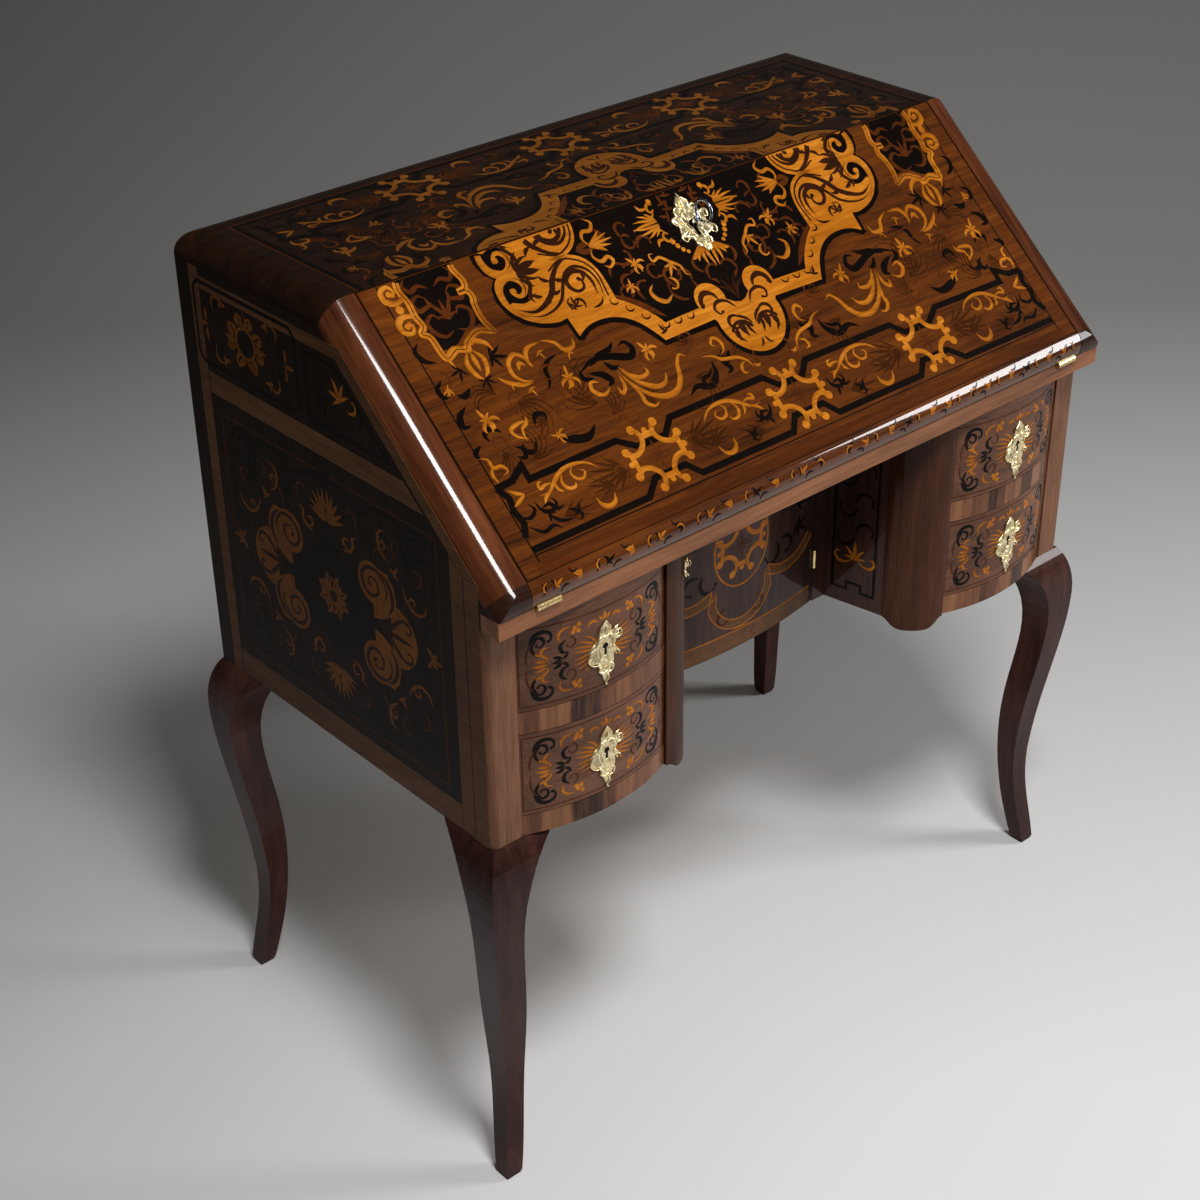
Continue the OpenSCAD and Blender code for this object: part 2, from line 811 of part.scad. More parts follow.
module door_panel() {
    color(rosewood) difference() {
        along_z(door_under, bed_under - leaf_gap) intersection() {
            translate(door_bow_c) circle(door_bow_r, $fn = 180);
            translate([-door_half, door_back_y - run_gap - 3 * door_t])
                square([2 * door_half, 3 * door_t]);
        }
        door_barrel_room();
        door_leaf_room(door_half - door_leaf_t - 0.1);
        translate([door_lock_x - door_lock_w / 2 - 0.1, door_back_y - small_lock_t - 0.1,
                   door_key_z - door_lock_w / 2 - 0.1])
            cube([door_lock_w + 0.2, small_lock_t + 1, door_lock_w + 0.2]);
        translate([door_lock_x, door_y, door_key_z]) front_keyhole(6 * door_t);
    }
}

module door_lock() {
    color(brass) difference() {
        translate([door_lock_x - door_lock_w / 2, door_back_y - small_lock_t,
                   door_key_z - door_lock_w / 2])
            cube([door_lock_w, small_lock_t - run_gap, door_lock_w]);
        translate([door_lock_x, door_back_y - small_lock_t, door_key_z])
            front_keyhole(small_lock_t);
    }
}

module door_escutcheon() {
    color(brass) difference() {
        intersection() {
            along_y(door_y - 3 * door_t, door_y) translate([door_lock_x, door_key_z])
                escutcheon_outline(esc_w * 0.7, esc_h * 0.7);
            along_z(door_key_z - esc_h, door_key_z + esc_h) translate(door_bow_c)
                difference() {
                    circle(door_bow_r + esc_t * 0.8, $fn = 180);
                    circle(door_bow_r, $fn = 180);
                }
        }
        translate([door_lock_x, door_y, door_key_z]) front_keyhole(6 * door_t);
    }
}

// One knuckle of a door hinge between two heights.
module door_knuckle(z0, z1) {
    translate([door_axis[0], door_axis[1], z0])
        cylinder(r = door_barrel_r, h = z1 - z0);
}

module door_hinge_fixed_leaves() {
    l = door_barrel_l / 3;
    color(brass) for (z = door_hinge_z) {
        door_knuckle(z - 1.5 * l, z - 0.5 * l);
        door_knuckle(z + 0.5 * l, z + 1.5 * l);
        translate([door_axis[0], door_axis[1], z - 1.5 * l])
            cylinder(r = door_pin_r, h = 3 * l);
        for (z0 = [z - 1.5 * l, z + 0.5 * l])
            translate([door_half + leaf_gap, door_axis[1], z0])
                cube([door_leaf_t, door_leaf_l, l]);
        translate([door_half + leaf_gap, door_axis[1] + 2 * door_barrel_r, z - 1.5 * l])
            cube([door_leaf_t, door_leaf_l - 2 * door_barrel_r, 3 * l]);
    }
}

module door_hinge_moving_leaves() {
    l = door_barrel_l / 3;
    gap = 0.2;
    color(brass) for (z = door_hinge_z) difference() {
        union() {
            door_knuckle(z - 0.5 * l + gap, z + 0.5 * l - gap);
            translate([door_half - door_leaf_t, door_axis[1], z - 0.5 * l + gap])
                cube([door_leaf_t, door_leaf_l, l - 2 * gap]);
            translate([door_half - door_leaf_t, door_axis[1] + 2 * door_barrel_r,
                       z - 1.5 * l])
                cube([door_leaf_t, door_leaf_l - 2 * door_barrel_r, 3 * l]);
        }
        translate([door_axis[0], door_axis[1], z - 2 * l])
            cylinder(r = door_pin_r + pin_gap, h = 4 * l);
    }
}

// Drawers, row 0 below and row 1 above

function row_floor(row) = row == 0 ? floor_top : mid_top;
function row_roof(row) = row == 0 ? mid_under : bed_under;
function row_key(row) = row_floor(row) + lower_open_h / 2;

module drawer_front(side, row) {
    color(walnut) on_side(side) difference() {
        along_z(row_floor(row) + drawer_gap, row_roof(row) - drawer_gap)
            bow_plan(open_in + drawer_gap, open_out - drawer_gap, front_back_y);
        translate([drawer_mid_x - drawer_lock_w / 2 - 0.1,
                   front_back_y - small_lock_t - 0.1,
                   row_key(row) - drawer_lock_h / 2 - 0.1])
            cube([drawer_lock_w + 0.2, small_lock_t + 1, drawer_lock_h + 0.2]);
        translate([drawer_mid_x, front_y, row_key(row)]) front_keyhole(2 * bow_reach);
    }
}

module drawer_box(side, row) {
    x0 = open_in + drawer_gap;
    x1 = open_out - drawer_gap;
    y1 = front_back_y + box_l;
    z0 = row_floor(row) + run_gap;
    z1 = row_roof(row) - drawer_gap - box_low;
    color(inner_wood) on_side(side) difference() {
        board([x0, front_back_y, z0], [x1, y1, z1]);
        board([x0 + box_t, front_back_y - 1, z0 + box_floor_t],
              [x1 - box_t, y1 - box_t, z1 + 1]);
    }
}

module drawer_lock(side, row) {
    color(brass) on_side(side) difference() {
        translate([drawer_mid_x - drawer_lock_w / 2, front_back_y - small_lock_t,
                   row_key(row) - drawer_lock_h / 2])
            cube([drawer_lock_w, small_lock_t, drawer_lock_h]);
        translate([drawer_mid_x, front_back_y - small_lock_t, row_key(row)])
            front_keyhole(small_lock_t);
    }
}

// The plate is bowed with the front that it is pinned to.
module drawer_escutcheon(side, row) {
    color(brass) on_side(side) difference() {
        intersection() {
            along_y(front_y - bow_reach, front_y)
                translate([drawer_mid_x, row_key(row) - esc_low])
                escutcheon_outline(esc_w, esc_h);
            along_z(row_key(row) - esc_h, row_key(row) + esc_h) translate(bow_c)
                difference() {
                    circle(bow_r + esc_t, $fn = 180);
                    circle(bow_r, $fn = 180);
                }
        }
        translate([drawer_mid_x, front_y, row_key(row)]) front_keyhole(2 * bow_reach);
    }
}

// Writing nest

module nest_shelf() {
    color(inner_wood)
        board([-in_w, nest_y, nest_shelf_z], [in_w, inner_back_y, nest_shelf_z + nest_t]);
}

// Pigeonhole partition outline: its front edge sweeps back as it rises.
module partition_outline(z0, z1) {
    polygon(concat(
        [[inner_back_y, z1], [inner_back_y, z0], [nest_y, z0]],
        curve([nest_y, z0], [nest_y + 4, z0 + 40], [nest_y + 60, z0 + 30],
              [nest_y + 60, z0 + 75], 10),
        [[nest_y + 60, z1]]));
}

module nest_partitions() {
    low = nest_shelf_z + nest_t;
    color(inner_wood) both_sides() {
        board([nest_mid, nest_y, writing_h], [nest_mid + nest_t, inner_back_y, nest_shelf_z]);
        for (x = [nest_mid, nest_outer])
            along_x(x, x + nest_t) partition_outline(low, top_under);
    }
}

module nest_drawer(side) {
    x0 = nest_mid + nest_t + 0.5;
    x1 = in_w - 0.5;
    z0 = writing_h + run_gap;
    z1 = nest_shelf_z - 0.7;
    y1 = inner_back_y - 12;
    mid = (x0 + x1) / 2;
    color(inner_wood) on_side(side) {
        difference() {
            board([x0, nest_y + 1, z0], [x1, y1, z1]);
            board([x0 + nest_box_t, nest_y + 11, z0 + 4],
                  [x1 - nest_box_t, y1 - nest_box_t, z1 + 1]);
        }
        translate([mid, nest_y + 1.5, (z0 + z1) / 2]) rotate([90, 0, 0]) knob();
    }
}

// A turned knob standing on its round foot.
module knob() {
    r = knob_d / 2;
    rotate_extrude() polygon(concat(
        [[0, 0], [r * 0.6, 0], [r * 0.6, 1.5]],
        curve([r * 0.6, 1.5], [r * 0.3, 2.5], [r * 0.3, 4], [r * 0.45, 5], 5),
        curve([r * 0.45, 5], [r * 1.2, 6], [r * 1.2, 11], [0, 12], 10)));
}

top_board();
side(-1);  // left_side
side(1);  // right_side
slope_mouldings();
end_blocks();
back_panel();
writing_bed();
front_rail();
corner_stiles();
inner_posts();
pedestal_rails();
pedestal_walls();
kneehole_panels();
pedestal_floors();
dust_boards();
drawer_guides();
cupboard_floor();
cupboard_stiles();
leg(-1, false);  // front_left_leg
leg(1, false);  // front_right_leg
leg(-1, true);  // rear_left_leg
leg(1, true);  // rear_right_leg
foot_pads();
fall_stops();
nest_shelf();
nest_partitions();
fall_hinge_fixed_leaves();
fall_hinge_pins();
fixed_leaf_screws();
door_hinge_fixed_leaves();
fall_board();
fall_hinge_moving_leaves();
moving_leaf_screws();
fall_lock();
fall_bolt();
fall_escutcheon();
fall_key();
door_panel();
door_hinge_moving_leaves();
door_lock();
door_escutcheon();
drawer_front(-1, 1);  // left_upper_drawer_front
drawer_box(-1, 1);  // left_upper_drawer_box
drawer_lock(-1, 1);  // left_upper_drawer_lock
drawer_escutcheon(-1, 1);  // left_upper_drawer_escutcheon
drawer_front(-1, 0);  // left_lower_drawer_front
drawer_box(-1, 0);  // left_lower_drawer_box
drawer_lock(-1, 0);  // left_lower_drawer_lock
drawer_escutcheon(-1, 0);  // left_lower_drawer_escutcheon
drawer_front(1, 1);  // right_upper_drawer_front
drawer_box(1, 1);  // right_upper_drawer_box
drawer_lock(1, 1);  // right_upper_drawer_lock
drawer_escutcheon(1, 1);  // right_upper_drawer_escutcheon
drawer_front(1, 0);  // right_lower_drawer_front
drawer_box(1, 0);  // right_lower_drawer_box
drawer_lock(1, 0);  // right_lower_drawer_lock
drawer_escutcheon(1, 0);  // right_lower_drawer_escutcheon
nest_drawer(-1);  // left_nest_drawer
nest_drawer(1);  // right_nest_drawer
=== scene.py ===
# %% [markdown]
# # A fall-front secretary with marquetry
# The desk's wooden parts, locks and hinges come in as a fixed frame in metres, with the
# floor at Z 0 and the front towards -Y. This lesson gives them their woods and metals,
# and adds what a cabinet maker adds last: the marquetry, the stringing lines and the
# cast escutcheons. Sizes in the drawings below are in millimetres, as a maker would
# write them, and one number turns them into metres.

# %% The frame
import math

import bpy
import numpy as np
from mathutils import Matrix, Vector
from mathutils.geometry import delaunay_2d_cdt


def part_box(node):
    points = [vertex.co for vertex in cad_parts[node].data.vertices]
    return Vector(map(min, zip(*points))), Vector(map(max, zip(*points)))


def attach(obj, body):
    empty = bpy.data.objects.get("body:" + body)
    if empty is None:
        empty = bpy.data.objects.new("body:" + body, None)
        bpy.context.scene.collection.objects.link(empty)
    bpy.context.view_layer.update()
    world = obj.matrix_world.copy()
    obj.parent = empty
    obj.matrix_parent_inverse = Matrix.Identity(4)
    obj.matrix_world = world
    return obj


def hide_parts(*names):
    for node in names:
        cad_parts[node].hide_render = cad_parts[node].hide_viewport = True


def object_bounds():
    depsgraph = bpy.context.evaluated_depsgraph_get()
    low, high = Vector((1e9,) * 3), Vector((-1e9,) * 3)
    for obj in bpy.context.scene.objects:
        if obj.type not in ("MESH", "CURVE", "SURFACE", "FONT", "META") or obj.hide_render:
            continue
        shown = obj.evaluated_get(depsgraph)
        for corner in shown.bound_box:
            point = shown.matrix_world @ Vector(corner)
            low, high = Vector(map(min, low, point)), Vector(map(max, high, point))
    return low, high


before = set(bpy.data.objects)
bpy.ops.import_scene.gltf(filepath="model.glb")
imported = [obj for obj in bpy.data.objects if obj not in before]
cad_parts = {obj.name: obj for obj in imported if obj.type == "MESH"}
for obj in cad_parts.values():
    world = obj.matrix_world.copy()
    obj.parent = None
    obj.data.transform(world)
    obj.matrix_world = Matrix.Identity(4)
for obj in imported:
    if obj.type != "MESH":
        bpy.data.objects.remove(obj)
cad_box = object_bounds()
MM = 0.001

# %% [markdown]
# ## Camera
# The photograph looks down on the desk's left front corner. A camera is fully described
# by its place, its lens and three directions: right, up and back. They are built from
# an azimuth, an elevation and a small roll, because those are easy to read and to check.

# %% Camera
STAND_AT = (-1.5165, -1.6209, 1.8176)
azimuth, elevation, roll = map(math.radians, (-41.2358, 31.3697, -0.8064))
back = Vector((math.sin(azimuth) * math.cos(elevation),
               -math.cos(azimuth) * math.cos(elevation), math.sin(elevation)))
level = (-back).cross(Vector((0, 0, 1))).normalized()
upright = level.cross(-back)
right = math.cos(roll) * level + math.sin(roll) * upright
up = math.cos(roll) * upright - math.sin(roll) * level
camera_data = bpy.data.cameras.new("camera")
camera_data.sensor_width = 36
camera_data.lens = 64.0
camera = bpy.data.objects.new("camera", camera_data)
camera.matrix_world = Matrix.Translation(STAND_AT) @ Matrix(
    (right, up, back)).transposed().to_4x4()
bpy.context.scene.collection.objects.link(camera)
bpy.context.scene.camera = camera
print("camera", [round(c, 3) for c in camera.matrix_world.translation])

# %% [markdown]
# ## Helpers for meshes
# Every new piece is a grid of points worked out by numpy and handed to Blender in one
# go. A grid has rows and columns; four neighbours make one face. Two helpers are enough:
# one numbers the faces of a grid, the other makes the object, names its finish and lets
# it ride on the body that carries it.

# %% Mesh helpers
finishes = {}


def grid_faces(rows, cols, wrap=False):
    """Quads of a rows x cols grid; with wrap the last column joins the first."""
    r = np.arange(rows - 1)[:, None]
    c = np.arange(cols if wrap else cols - 1)[None, :]
    n = (c + 1) % cols
    return np.stack([r * cols + c, r * cols + n, (r + 1) * cols + n, (r + 1) * cols + c],
                    -1).reshape(-1, 4)


def make_piece(name, points, faces, finish, body, shade=None, smooth=True):
    """A mesh object from points in metres, with an optional per-point shade."""
    mesh = bpy.data.meshes.new(name)
    mesh.from_pydata(np.asarray(points, float).tolist(), [],
                     [f for block in faces for f in np.asarray(block).tolist()])
    if shade is not None:
        mesh.attributes.new("shade", "FLOAT", "POINT").data.foreach_set(
            "value", np.asarray(shade, np.float32))
    mesh.polygons.foreach_set("use_smooth", np.full(len(mesh.polygons), smooth))
    mesh.materials.append(finishes[finish])
    mesh.update()
    piece = bpy.data.objects.new(name, mesh)
    bpy.context.scene.collection.objects.link(piece)
    if body:
        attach(piece, body)
    return piece


# %% [markdown]
# ## Floor and backdrop
# A studio sweep is one sheet of pale paper: flat under the desk, then rising behind it
# in a wide curve, so that no edge shows. Its profile is a line, a quarter circle and a
# line, carried sideways. It is stage, not part of the desk.

# %% Floor and backdrop
def sweep_sheet(flat_front, flat_back, radius, height, half_width):
    """Profile: flat, a quarter circle of the given radius, upright; carried across."""
    turn = np.linspace(0, np.pi / 2, 24)
    run = np.concatenate([[-flat_front], flat_back + radius * np.sin(turn),
                          [flat_back + radius]])
    rise = np.concatenate([[0.0], radius * (1 - np.cos(turn)), [height]])
    along = np.array([-half_width, half_width])
    view = Vector((-back.x, -back.y, 0)).normalized()
    side = Vector((view.y, -view.x, 0))
    points = (run[:, None, None] * np.array(view) + along[None, :, None] * np.array(side)
              + rise[:, None, None] * np.array((0, 0, 1)))
    return points.reshape(-1, 3), grid_faces(len(run), 2)


# %% [markdown]
# ## Woods
# Sawn wood is a stretched pattern: fibres a fraction of a millimetre wide run along the
# board, broader bands of dark and pale growth wander beside them, and a slow change of
# tone runs over the whole plank. Each wood below squeezes the coordinates across the
# grain, adds those three scales of noise and looks the sum up in a row of colours. The
# lacquer is the shader's own clear coat, which gives the desk its polish.

# %% Wood finishes
def node(tree, kind, inputs=(), **settings):
    """Adds a shader node with its settings; inputs take plain values or sockets."""
    made = tree.nodes.new(kind)
    for key, value in settings.items():
        setattr(made, key, value)
    for key, value in dict(inputs).items():
        if hasattr(value, "is_output"):
            tree.links.new(value, made.inputs[key])
        else:
            made.inputs[key].default_value = value
    return made


def own_place(tree):
    """The piece's own coordinates."""
    return node(tree, "ShaderNodeTexCoord").outputs["Object"]


def blend_value(tree, how, *terms):
    """A Math node on numbers or sockets."""
    return node(tree, "ShaderNodeMath", enumerate(terms), operation=how).outputs[0]


def mapped(tree, where, how, values):
    """Coordinates turned (Rotation) or squeezed (Scale)."""
    return node(tree, "ShaderNodeMapping", {"Vector": where, how: values}).outputs[0]


def noise(tree, where, scale, detail, rough=0.55, warp=0.0):
    """Cloudy noise at a coordinate socket."""
    return node(tree, "ShaderNodeTexNoise", {
        "Vector": where, "Scale": scale, "Detail": detail, "Roughness": rough,
        "Distortion": warp}).outputs["Fac"]


def ramp(tree, factor, stops):
    """Colours looked up along a row of (place, colour)."""
    made = node(tree, "ShaderNodeValToRGB", {0: factor})
    row = made.color_ramp.elements
    while len(row) < len(stops):
        row.new(0.5)
    for spot, (place, colour) in zip(row, stops):
        spot.position = place
        spot.color = (*colour, 1)
    return made.outputs[0]


def finish(name, rough=0.4, coat=0.0, coat_rough=0.1, metal=0.0, level=0.5):
    """A new material with its shader's constant values set on the sockets."""
    made = bpy.data.materials.new(name)
    made.use_nodes = True
    shader = made.node_tree.nodes["Principled BSDF"]
    for socket, value in (("Roughness", rough), ("Coat Weight", coat),
                          ("Coat Roughness", coat_rough), ("Metallic", metal),
                          ("Specular IOR Level", level)):
        shader.inputs[socket].default_value = value
    finishes[name] = made
    return made.node_tree, shader


def relief(tree, shader, height, depth):
    """Small bumps from a height socket; depth is in metres."""
    made = node(tree, "ShaderNodeBump", {"Strength": 0.6, "Distance": depth, "Height": height})
    tree.links.new(made.outputs[0], shader.inputs["Normal"])


TURNS = {"x": (0, 0, 0), "y": (0, 0, math.pi / 2), "z": (0, math.pi / 2, 0)}
MIX_FACTOR, MIX_FIRST, MIX_SECOND, MIXED = 0, 6, 7, 2
FIBRE_SCALE, FIBRE_DEPTH = 900, 0.00006
DARKEST, LIGHTEST = 0.26, 0.74


def wood(name, colours, grain, band, figure=0.5, fibre=0.35, patch=0.0, rough=0.4,
         coat=0.4, coat_rough=0.045, shaded=None, turn=None):
    """Growth bands, fibres and slow tone on stretched coordinates, looked up in colours.

    colours run from deep to pale; grain names the axis the fibres follow; band is bands
    per metre across the grain; patch adds the light and dark flitches of crossbanding."""
    tree, shader = finish(name, rough, coat, coat_rough, level=0.03)
    turned = mapped(tree, own_place(tree), "Rotation", turn or TURNS[grain])
    squeezed = mapped(tree, turned, "Scale", (0.09, 1, 1))
    fine = mapped(tree, turned, "Scale", (0.025, 1, 1))
    bands = noise(tree, squeezed, band, 5, 0.6, 1.4)
    lines = noise(tree, squeezed, band * 5, 3, 0.65, 0.5)
    pores = noise(tree, fine, FIBRE_SCALE, 2, 0.6)
    slow = noise(tree, turned, 5.0, 2, 0.5)
    total = 0.5 - figure * 0.5
    for pattern, share in ((bands, figure), (lines, figure * 0.55), (slow, 0.35),
                           (pores, fibre)):
        total = blend_value(tree, "MULTIPLY_ADD", pattern, share, total)
    total = blend_value(tree, "SUBTRACT", total, 0.175 + figure * 0.275 + fibre * 0.5)
    if patch:
        across = node(tree, "ShaderNodeSeparateXYZ", {0: turned}).outputs[2]
        wander = blend_value(tree, "MULTIPLY_ADD", slow, 0.03, across)
        split = node(tree, "ShaderNodeTexVoronoi", {"W": wander, "Scale": 34, "Smoothness": 0.35},
                     voronoi_dimensions="1D", feature="SMOOTH_F1")
        tone = node(tree, "ShaderNodeSeparateColor", {0: split.outputs["Color"]}).outputs[0]
        total = blend_value(tree, "MULTIPLY_ADD", tone, patch, total)
        total = blend_value(tree, "SUBTRACT", total, patch * 0.5)
    places = np.linspace(DARKEST, LIGHTEST, len(colours))
    colour = ramp(tree, total, list(zip(places, colours)))
    if shaded:
        shade = node(tree, "ShaderNodeAttribute", attribute_name="shade").outputs["Fac"]
        colour = node(tree, "ShaderNodeMix", {MIX_FACTOR: shade, MIX_FIRST: colour,
                                              MIX_SECOND: (*shaded, 1)},
                      data_type="RGBA").outputs[MIXED]
    tree.links.new(colour, shader.inputs["Base Color"])
    relief(tree, shader, pores, FIBRE_DEPTH)


# Colours are linear, as the shader takes them, from deep to pale.
wood("top_walnut", [(0.003, 0.001, 0.0004), (0.011, 0.004, 0.0016), (0.032, 0.011, 0.004)],
     "x", 30, coat=0.25)
wood("side_walnut", [(0.003, 0.0012, 0.0006), (0.011, 0.005, 0.0022), (0.026, 0.011, 0.005)],
     "z", 30, coat=0.14, coat_rough=0.08)
wood("slope_walnut", [(0.015, 0.0035, 0.001), (0.072, 0.019, 0.006), (0.16, 0.048, 0.016)],
     "y", 46, 0.6, coat=0.5, coat_rough=0.1, turn=(math.radians(-41), 0, math.pi / 2))
wood("fall_rosewood", [(0.012, 0.0026, 0.0003), (0.055, 0.0125, 0.0006),
                       (0.098, 0.0235, 0.0012), (0.14, 0.037, 0.002)], "x", 60, 0.6, coat=0.9)
wood("drawer_walnut", [(0.024, 0.009, 0.005), (0.10, 0.040, 0.020), (0.19, 0.083, 0.044)],
     "x", 30)
wood("rail_crossband", [(0.02, 0.007, 0.003), (0.10, 0.037, 0.016), (0.17, 0.067, 0.030),
                        (0.23, 0.098, 0.044)], "z", 40, 0.6, 0.3, 0.5)
wood("pale_walnut", [(0.04, 0.015, 0.006), (0.14, 0.057, 0.025), (0.25, 0.11, 0.054)], "z", 40)
wood("front_rail_walnut", [(0.07, 0.025, 0.009), (0.21, 0.082, 0.034), (0.33, 0.14, 0.064)],
     "x", 44)
wood("post_walnut", [(0.012, 0.0038, 0.0014), (0.045, 0.0145, 0.006), (0.095, 0.034, 0.015)],
     "z", 34, coat=0.22, coat_rough=0.08)
wood("leg_rosewood", [(0.006, 0.002, 0.0013), (0.035, 0.012, 0.009), (0.085, 0.032, 0.023)],
     "z", 24, 0.5, 0.25, rough=0.36, coat=0.3, coat_rough=0.07)
wood("block_rosewood", [(0.006, 0.002, 0.001), (0.024, 0.008, 0.005), (0.06, 0.02, 0.01)],
     "x", 40)
wood("kneehole_rosewood", [(0.006, 0.0025, 0.0016), (0.03, 0.012, 0.008),
                           (0.065, 0.027, 0.017)], "z", 30)
wood("door_rosewood", [(0.008, 0.004, 0.003), (0.036, 0.017, 0.013), (0.085, 0.043, 0.034)],
     "z", 18, 0.6, 0.3, coat=0.3, coat_rough=0.06)
wood("inner_oak", [(0.16, 0.085, 0.035), (0.36, 0.21, 0.095), (0.52, 0.33, 0.17)],
     "x", 60, 0.5, 0.5, rough=0.55, coat=0.1, coat_rough=0.12)
print(len(finishes), "woods")

# %% [markdown]
# ## Brass, steel, felt and paper
# Cast brass keeps a bright top and a duller, browner ground in its hollows, so its
# colour and its polish both wander. The key's steel is blued. The pads under the feet
# are black felt. The studio paper is pale grey with a painted pool of light: its colour
# darkens with the distance from a spot in front of the desk, standing for the light
# falling off.

# %% Metals, felt and paper
def metal(name, dull, bright, rough, scale, bump=0.00008):
    """Two tones of metal mixed by noise, with a rougher dull tone."""
    tree, shader = finish(name, rough, metal=1.0)
    place = own_place(tree)
    tone = noise(tree, place, scale, 4, 0.6, 0.4)
    gloss = blend_value(tree, "MULTIPLY_ADD", tone, -0.25, rough + 0.14)
    tree.links.new(ramp(tree, tone, [(0.36, dull), (0.6, bright)]), shader.inputs["Base Color"])
    tree.links.new(gloss, shader.inputs["Roughness"])
    relief(tree, shader, noise(tree, place, scale * 9, 2, 0.6), bump)


metal("cast_brass", (0.60, 0.46, 0.22), (0.96, 0.84, 0.54), 0.36, 160)
metal("hinge_brass", (0.55, 0.38, 0.14), (0.90, 0.70, 0.34), 0.28, 260)
metal("lock_brass", (0.45, 0.32, 0.13), (0.78, 0.60, 0.28), 0.34, 120)
metal("blued_steel", (0.12, 0.15, 0.22), (0.42, 0.47, 0.58), 0.2, 220, 0.00003)

tree, shader = finish("black_felt", 0.95)
fuzz = noise(tree, own_place(tree), 1400, 3, 0.7)
tree.links.new(ramp(tree, fuzz, [(0.3, (0.006, 0.006, 0.006)), (0.7, (0.03, 0.03, 0.03))]),
               shader.inputs["Base Color"])
relief(tree, shader, fuzz, 0.0004)

# Painted light: the paper is lightest at this spot and darker the farther away it lies.
PAINTED_LIGHT_SPOT = (-0.1, -0.75, 0)
tree, shader = finish("studio_paper", 0.9)
place = own_place(tree)
away = node(tree, "ShaderNodeVectorMath", {0: place, 1: PAINTED_LIGHT_SPOT}, operation="DISTANCE")
painted_falloff = blend_value(tree, "MULTIPLY", away.outputs["Value"], 0.25)
painted_falloff = blend_value(tree, "MULTIPLY_ADD", noise(tree, place, 0.8, 2), 0.04, painted_falloff)
painted_light_tones = [(0.1, (0.70, 0.70, 0.705)), (0.42, (0.46, 0.46, 0.465)),
               (0.75, (0.24, 0.24, 0.238)), (1.0, (0.13, 0.128, 0.123))]
tree.links.new(ramp(tree, painted_falloff, painted_light_tones), shader.inputs["Base Color"])
relief(tree, shader, noise(tree, place, 700, 2, 0.6), 0.0001)

points, faces = sweep_sheet(flat_front=3.5, flat_back=1.9, radius=1.1, height=3.2,
                            half_width=5.5)
paper = make_piece("studio_sweep", points, [faces], "studio_paper", None)
print("studio paper", len(faces), "faces")

# %% [markdown]
# ## Which part gets which finish
# A cabinet maker chooses a board for each place: quiet walnut for the body, figured
# rosewood for the fall, crossbanding on the rails. The table below does the same. The
# parts' own shapes stay as they are; only their material slots are filled.

# %% Finishes of the parts
DRESSING = {
    "top_board": "top_walnut", "left_side": "side_walnut", "right_side": "side_walnut",
    "slope_mouldings": "slope_walnut", "end_blocks": "block_rosewood",
    "front_rail": "front_rail_walnut", "corner_stiles": "pale_walnut",
    "inner_posts": "post_walnut", "pedestal_rails": "rail_crossband",
    "kneehole_panels": "kneehole_rosewood", "cupboard_stiles": "kneehole_rosewood",
    "fall_board": "fall_rosewood", "door_panel": "door_rosewood", "foot_pads": "black_felt",
    "fall_key": "blued_steel", "fall_bolt": "lock_brass",
}
BY_WORD = {"_leg": "leg_rosewood", "_drawer_front": "drawer_walnut", "_lock": "lock_brass",
           "_escutcheon": "cast_brass", "hinge": "hinge_brass", "screws": "hinge_brass"}


def finish_of(name):
    """The finish that suits a part, by its name or by a word in it."""
    if name in DRESSING:
        return DRESSING[name]
    return next((BY_WORD[word] for word in BY_WORD if word in name), "inner_oak")


for name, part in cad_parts.items():
    part.data.materials.clear()
    part.data.materials.append(finishes[finish_of(name)])
print("dressed", len(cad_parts), "parts")

# %% [markdown]
# ## Light
# The shadow in the photograph falls behind the desk, so the main lamp hangs high in
# front of it. A broad soft lamp on the right draws the bright line along the fall's
# rounded edge, and the world adds a low warm light from all around.

# %% Lamps
def lamp(name, place, aim, size, power, colour=(1, 1, 1)):
    """A soft rectangular lamp at a place, facing a point."""
    data = bpy.data.lights.new(name, "AREA")
    data.shape = "RECTANGLE"
    data.size, data.size_y = size
    data.energy = power
    data.color = colour
    made = bpy.data.objects.new(name, data)
    made.location = place
    made.rotation_euler = (Vector(place) - Vector(aim)).to_track_quat("Z", "Y").to_euler()
    bpy.context.scene.collection.objects.link(made)


lamp("main_lamp", (-0.66, -1.49, 3.33), (0, 0, 0.4), (0.75, 0.75), 94, (1, 0.99, 0.98))
lamp("edge_lamp", (2.6, -2.1, 1.6), (0.1, -0.3, 0.7), (0.9, 1.5), 72)
world = bpy.data.worlds.new("studio")
bpy.context.scene.world = world
world.use_nodes = True
world.node_tree.nodes["Background"].inputs[0].default_value = (1.0, 0.955, 0.88, 1)
world.node_tree.nodes["Background"].inputs[1].default_value = 0.09
bpy.context.scene.view_settings.view_transform = "Standard"

# %% [markdown]
# ## Marquetry: lines that swell and taper
# Every scroll and leaf of the marquetry is a line with a width that changes along it.
# The line comes from a few points joined smoothly, or from a curl: a walk whose heading
# turns faster and faster, as a scroll does. The width comes from a profile: a leaf is
# pointed at both ends, a horn ends in a round eye. The real veneers are let into the
# panel; here each stands a tenth of a millimetre proud, so that its edge shows.

# %% Lines and widths
PROFILES = {
    "leaf": ((0, 0.05), (0.12, 0.5), (0.38, 1), (0.65, 0.85), (0.88, 0.4), (1, 0.04)),
    "horn": ((0, 0.1), (0.1, 0.6), (0.38, 1), (0.8, 0.5), (0.9, 0.42), (0.95, 0.9), (1, 0.3)),
    "strap": ((0, 0.5), (0.02, 1), (0.98, 1), (1, 0.5)),
}


